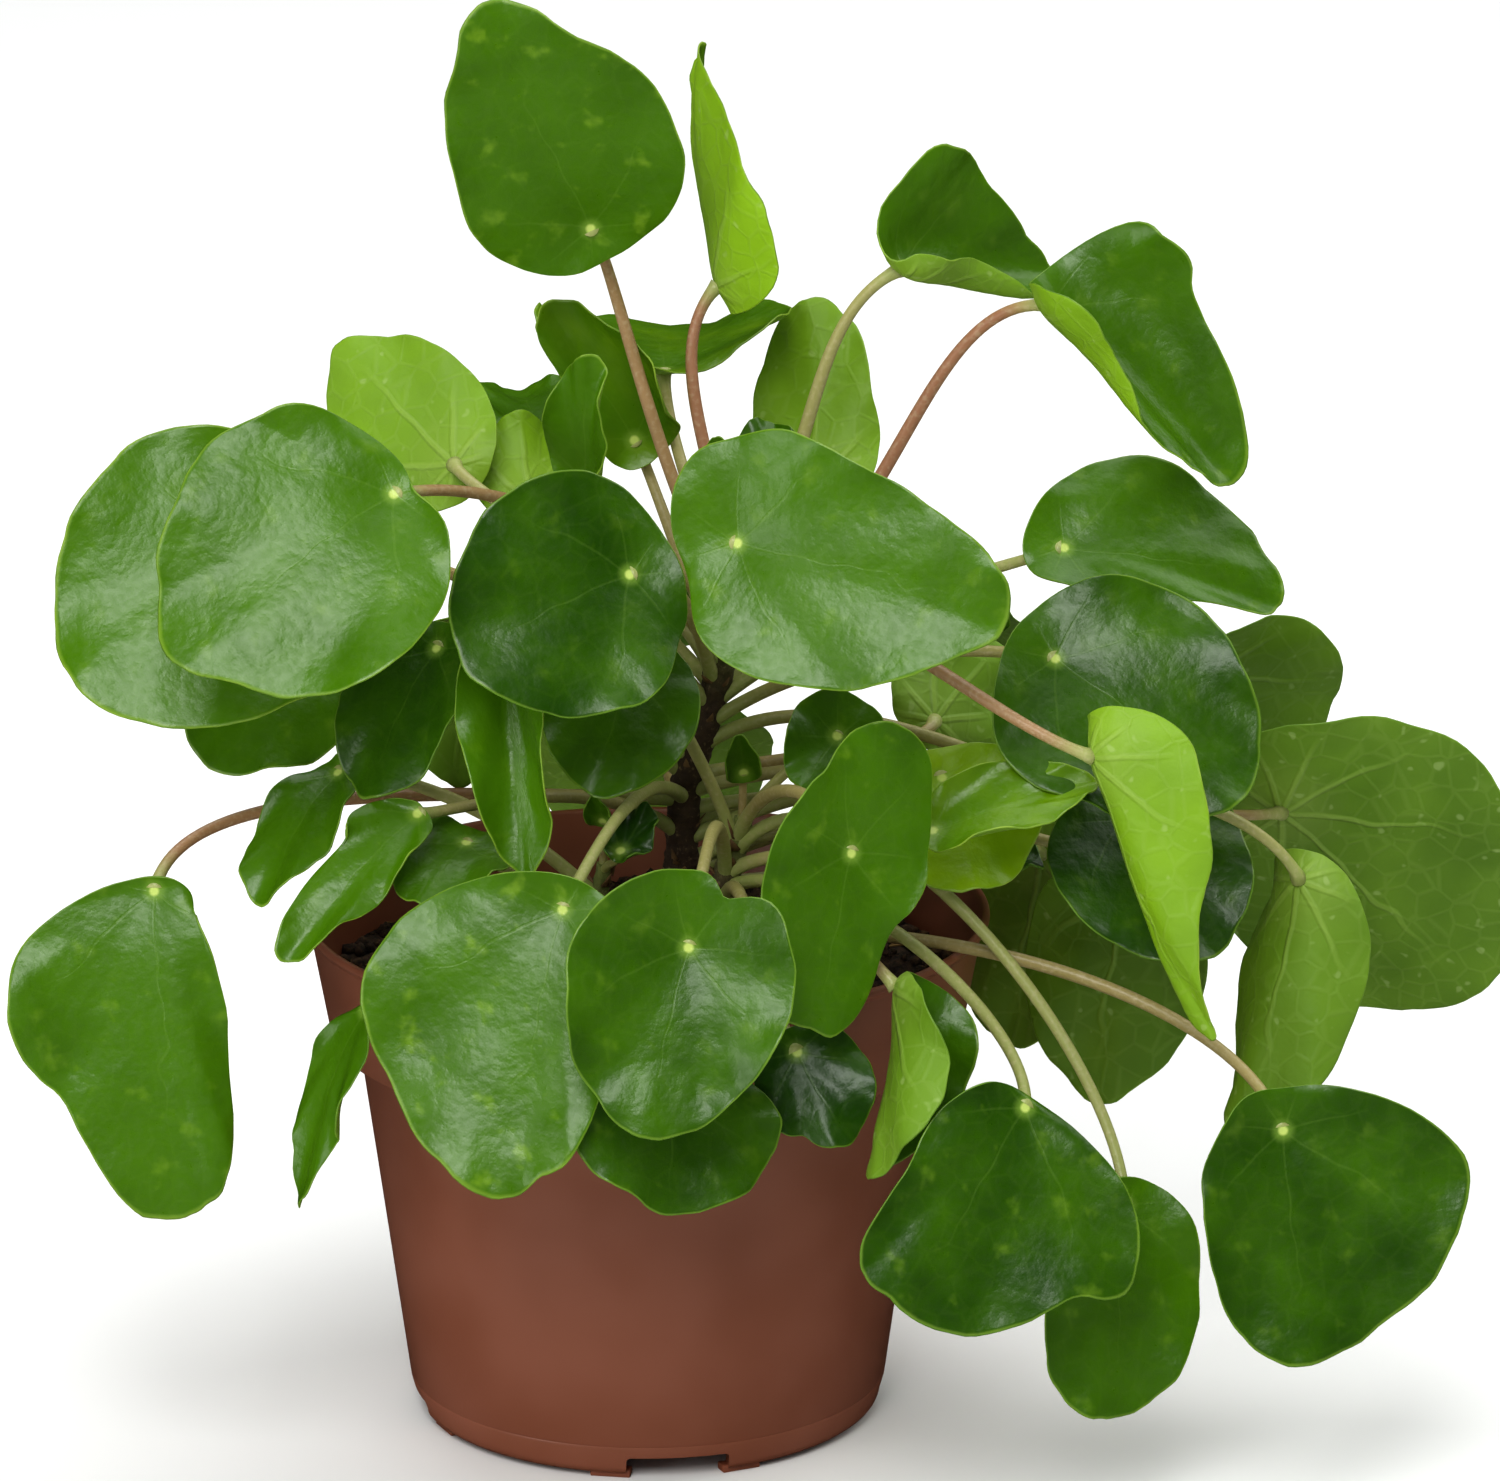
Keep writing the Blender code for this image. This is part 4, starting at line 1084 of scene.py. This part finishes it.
def make_fibres(material, draw):
    """Strands of husk and root that lie on the soil."""
    meshes = []
    for _ in range(FIBRES):
        radius = FIBRE_REACH * math.sqrt(draw.random())
        heading, way = draw.uniform(0, math.tau), draw.uniform(0, math.tau)
        t = np.linspace(0, 1, 9)
        length, bow = draw.uniform(*FIBRE_LENGTH), draw.uniform(-FIBRE_BOW, FIBRE_BOW)
        along, across = (t - 0.5) * length, bow * (1 - (2 * t - 1) ** 2)
        x = radius * math.cos(heading) + along * math.cos(way) - across * math.sin(way)
        y = radius * math.sin(heading) + along * math.sin(way) + across * math.cos(way)
        inner = np.minimum(1, FIBRE_EDGE / np.hypot(x, y))
        x, y = x * inner, y * inner
        z = soil_top(x, y) + 0.3 + draw.uniform(0.2, 1.5) * np.sin(t * math.pi)
        thick = draw.uniform(*FIBRE_RADIUS)
        meshes.append(tube(np.stack([x, y, z], 1), lambda along, turn, r=thick: r * (1 - 0.5 * along), 5))
    settle("soil_fibres", joined("soil_fibres", meshes), [material])


# Pot


def arc(radius, height, size, start, end, steps):
    """Points of a quarter or half round in a turned profile, from one angle to another in degrees."""
    angles = np.radians(np.linspace(start, end, steps + 1))
    return [(radius + size * math.cos(angle), height + size * math.sin(angle)) for angle in angles]


def block(size, edges_of, rounding, segments, heading, radius, height):
    """A block with rounded edges, turned to a heading at a radius."""
    bm = bmesh.new()
    bmesh.ops.create_cube(bm, size=1)
    bmesh.ops.scale(bm, vec=size, verts=bm.verts)
    edges = [edge for edge in bm.edges if edges_of(edge)]
    bmesh.ops.bevel(bm, geom=edges, offset=rounding, segments=segments, profile=0.5, affect="EDGES", material=-1)
    turn, out = math.radians(heading), direction(heading, 0) * radius
    for vertex in bm.verts:
        x, y, z = vertex.co
        vertex.co = (
            out[0] + x * math.cos(turn) - y * math.sin(turn),
            out[1] + x * math.sin(turn) + y * math.cos(turn),
            z + height,
        )
    return mesh_of(bm, "block")


def runs_inwards(edge):
    """Whether an edge of a drain notch runs towards the axis."""
    return abs(edge.verts[0].co.y - edge.verts[1].co.y) > 1


def make_pot(material):
    """The pot: a turned shell with drain notches through its skirt, and two foot pads beside each."""
    collar_foot = POT_HEIGHT - COLLAR_HEIGHT
    floor = FLOOR_HEIGHT + WALL
    skirt = BASE_RADIUS - CORNER - SKIRT_WALL
    ring = wall_radius(RING_HEIGHT)
    line = [
        (0, floor),
        (20, floor),
        *arc(wall_radius(FLOOR_HEIGHT) - WALL - INNER_CORNER, floor + INNER_CORNER, INNER_CORNER, -90, 0, 4),
        (wall_radius(collar_foot - 0.1) - WALL, collar_foot),
        (COLLAR_FOOT_RADIUS - WALL, collar_foot + WALL),
        (wall_radius(POT_HEIGHT - LIP_INSIDE) - WALL, POT_HEIGHT - LIP_INSIDE),
        *arc(RIM_RADIUS - LIP / 2, POT_HEIGHT - LIP / 2, LIP / 2, 180, -60, 9),
        *((wall_radius(POT_HEIGHT - drop), POT_HEIGHT - drop) for drop in LIP_OUTSIDE),
        (COLLAR_FOOT_RADIUS + 0.12, collar_foot + 1.0),
        *arc(COLLAR_FOOT_RADIUS - COLLAR_ROUNDING, collar_foot + COLLAR_ROUNDING, COLLAR_ROUNDING, 0, -90, 3),
        (BODY_TOP_RADIUS + SHOULDER_ROUNDING, collar_foot),
        *arc(BODY_TOP_RADIUS + SHOULDER_ROUNDING, collar_foot - SHOULDER_ROUNDING, SHOULDER_ROUNDING, 90, 180, 3),
        (wall_radius(collar_foot / 2), collar_foot / 2),
        (ring + RING_TAPER, RING_HEIGHT + RING_HALF),
        (ring - RING_DEPTH, RING_HEIGHT),
        (ring - RING_TAPER, RING_HEIGHT - RING_HALF),
        *arc(BASE_RADIUS - CORNER, FOOT_PAD + CORNER, CORNER, 0, -90, 6),
        (skirt, FOOT_PAD),
        (skirt, FLOOR_HEIGHT),
        (0, FLOOR_HEIGHT),
    ]
    shell = put("shell", mesh_of(spun(line, POT_STEPS), "nursery_pot"))
    cutters = []
    for heading in DRAIN_HEADINGS:
        size = (DRAIN_WIDTH, DRAIN_DEPTH, DRAIN_HEIGHT * 2)
        cutter = put("notch", block(size, runs_inwards, DRAIN_ROUNDING, 3, heading, BASE_RADIUS, 0))
        cut = shell.modifiers.new("notch", "BOOLEAN")
        cut.operation, cut.object = "DIFFERENCE", cutter
        cutters.append(cutter)
    bpy.context.view_layer.update()
    meshes = [bpy.data.meshes.new_from_object(shell.evaluated_get(bpy.context.evaluated_depsgraph_get()))]
    for spent in [shell, *cutters]:
        bpy.data.objects.remove(spent, do_unlink=True)
    for heading in DRAIN_HEADINGS:
        for side in (-1, 1):
            size, turn = (*PAD_SIZE, FOOT_PAD * 2), heading + side * PAD_TURN
            meshes.append(block(size, lambda edge: True, PAD_ROUNDING, 2, turn, PAD_RADIUS, FOOT_PAD))
    pot = settle("nursery_pot", joined("nursery_pot", meshes), [material], ["pot"])
    pot.data.set_sharp_from_angle(angle=math.radians(CRISP_EDGE))


# Studio


def make_floor():
    """The paper under the plant, which its glossy leaves don't mirror."""
    bm = bmesh.new()
    bmesh.ops.create_grid(bm, x_segments=2, y_segments=2, size=PAPER_REACH)
    floor = put("studio_floor", mesh_of(bm, "studio_floor"))
    floor.data.materials.append(studio_paper())
    floor.visible_glossy = False


def make_light(name, place, size, power):
    """A soft box that faces the middle of the plant."""
    lamp = bpy.data.lights.new(name, "AREA")
    lamp.shape, lamp.size, lamp.size_y = "RECTANGLE", size[0], size[1]
    lamp.energy = power
    box = put(name, lamp)
    box.location = place
    box.rotation_euler = (Vector(LIT_POINT) - Vector(place)).to_track_quat("-Z", "Y").to_euler()
    box.visible_camera = False


def make_lights():
    """The soft boxes, and a room light that the glossy leaves don't mirror."""
    for soft_box in SOFT_BOXES:
        make_light(*soft_box)
    world = bpy.data.worlds.new("studio_room")
    world.use_nodes = True
    room = world.node_tree.nodes["Background"]
    room.inputs["Color"].default_value = linear("#f2f5f8")
    room.inputs["Strength"].default_value = ROOM_LIGHT
    bpy.context.scene.world = world
    world.cycles_visibility.glossy = False
    bpy.context.scene.view_settings.view_transform = "Standard"
    bpy.context.scene.view_settings.look = "Medium High Contrast"


def make_camera():
    """The camera at the photograph's angle, so far off that the plant is hardly foreshortened."""
    lens = bpy.data.cameras.new("camera")
    lens.sensor_width = SENSOR
    lens.lens = SENSOR * FOCUS_PIXELS / FRAME_WIDTH
    lens.clip_start, lens.clip_end = 0.05, 50
    camera = put("camera", lens)
    rise = math.radians(CAMERA_RISE)
    aim = np.array(CAMERA_AIM) + POT_AXIS
    camera.location = (aim + CAMERA_REACH * np.array([0, -math.cos(rise), math.sin(rise)])) * MM
    camera.rotation_euler = (math.pi / 2 - rise, 0, 0)
    bpy.context.scene.camera = camera


def main():
    make_camera()
    blank = blade_blank()
    leaf_materials = [leaf_cuticle(), leaf_underside(), leaf_rim(), stalk_skin()]
    make_leaves(LEAVES, leaf_materials, blank, True)
    make_leaves(YOUNG_LEAVES, leaf_materials, blank, False)
    bpy.data.meshes.remove(blank)
    bark = stem_bark()
    for seed, name in enumerate(STEMS):
        make_stem(name, bark, seed)
    make_scales(dry_scale(), random.Random(21))
    soil = potting_soil()
    make_soil(soil)
    make_crumbs(soil, random.Random(4))
    make_fibres(soil_fibre(), random.Random(9))
    make_pot(moulded_polypropylene())
    make_floor()
    make_lights()


main()
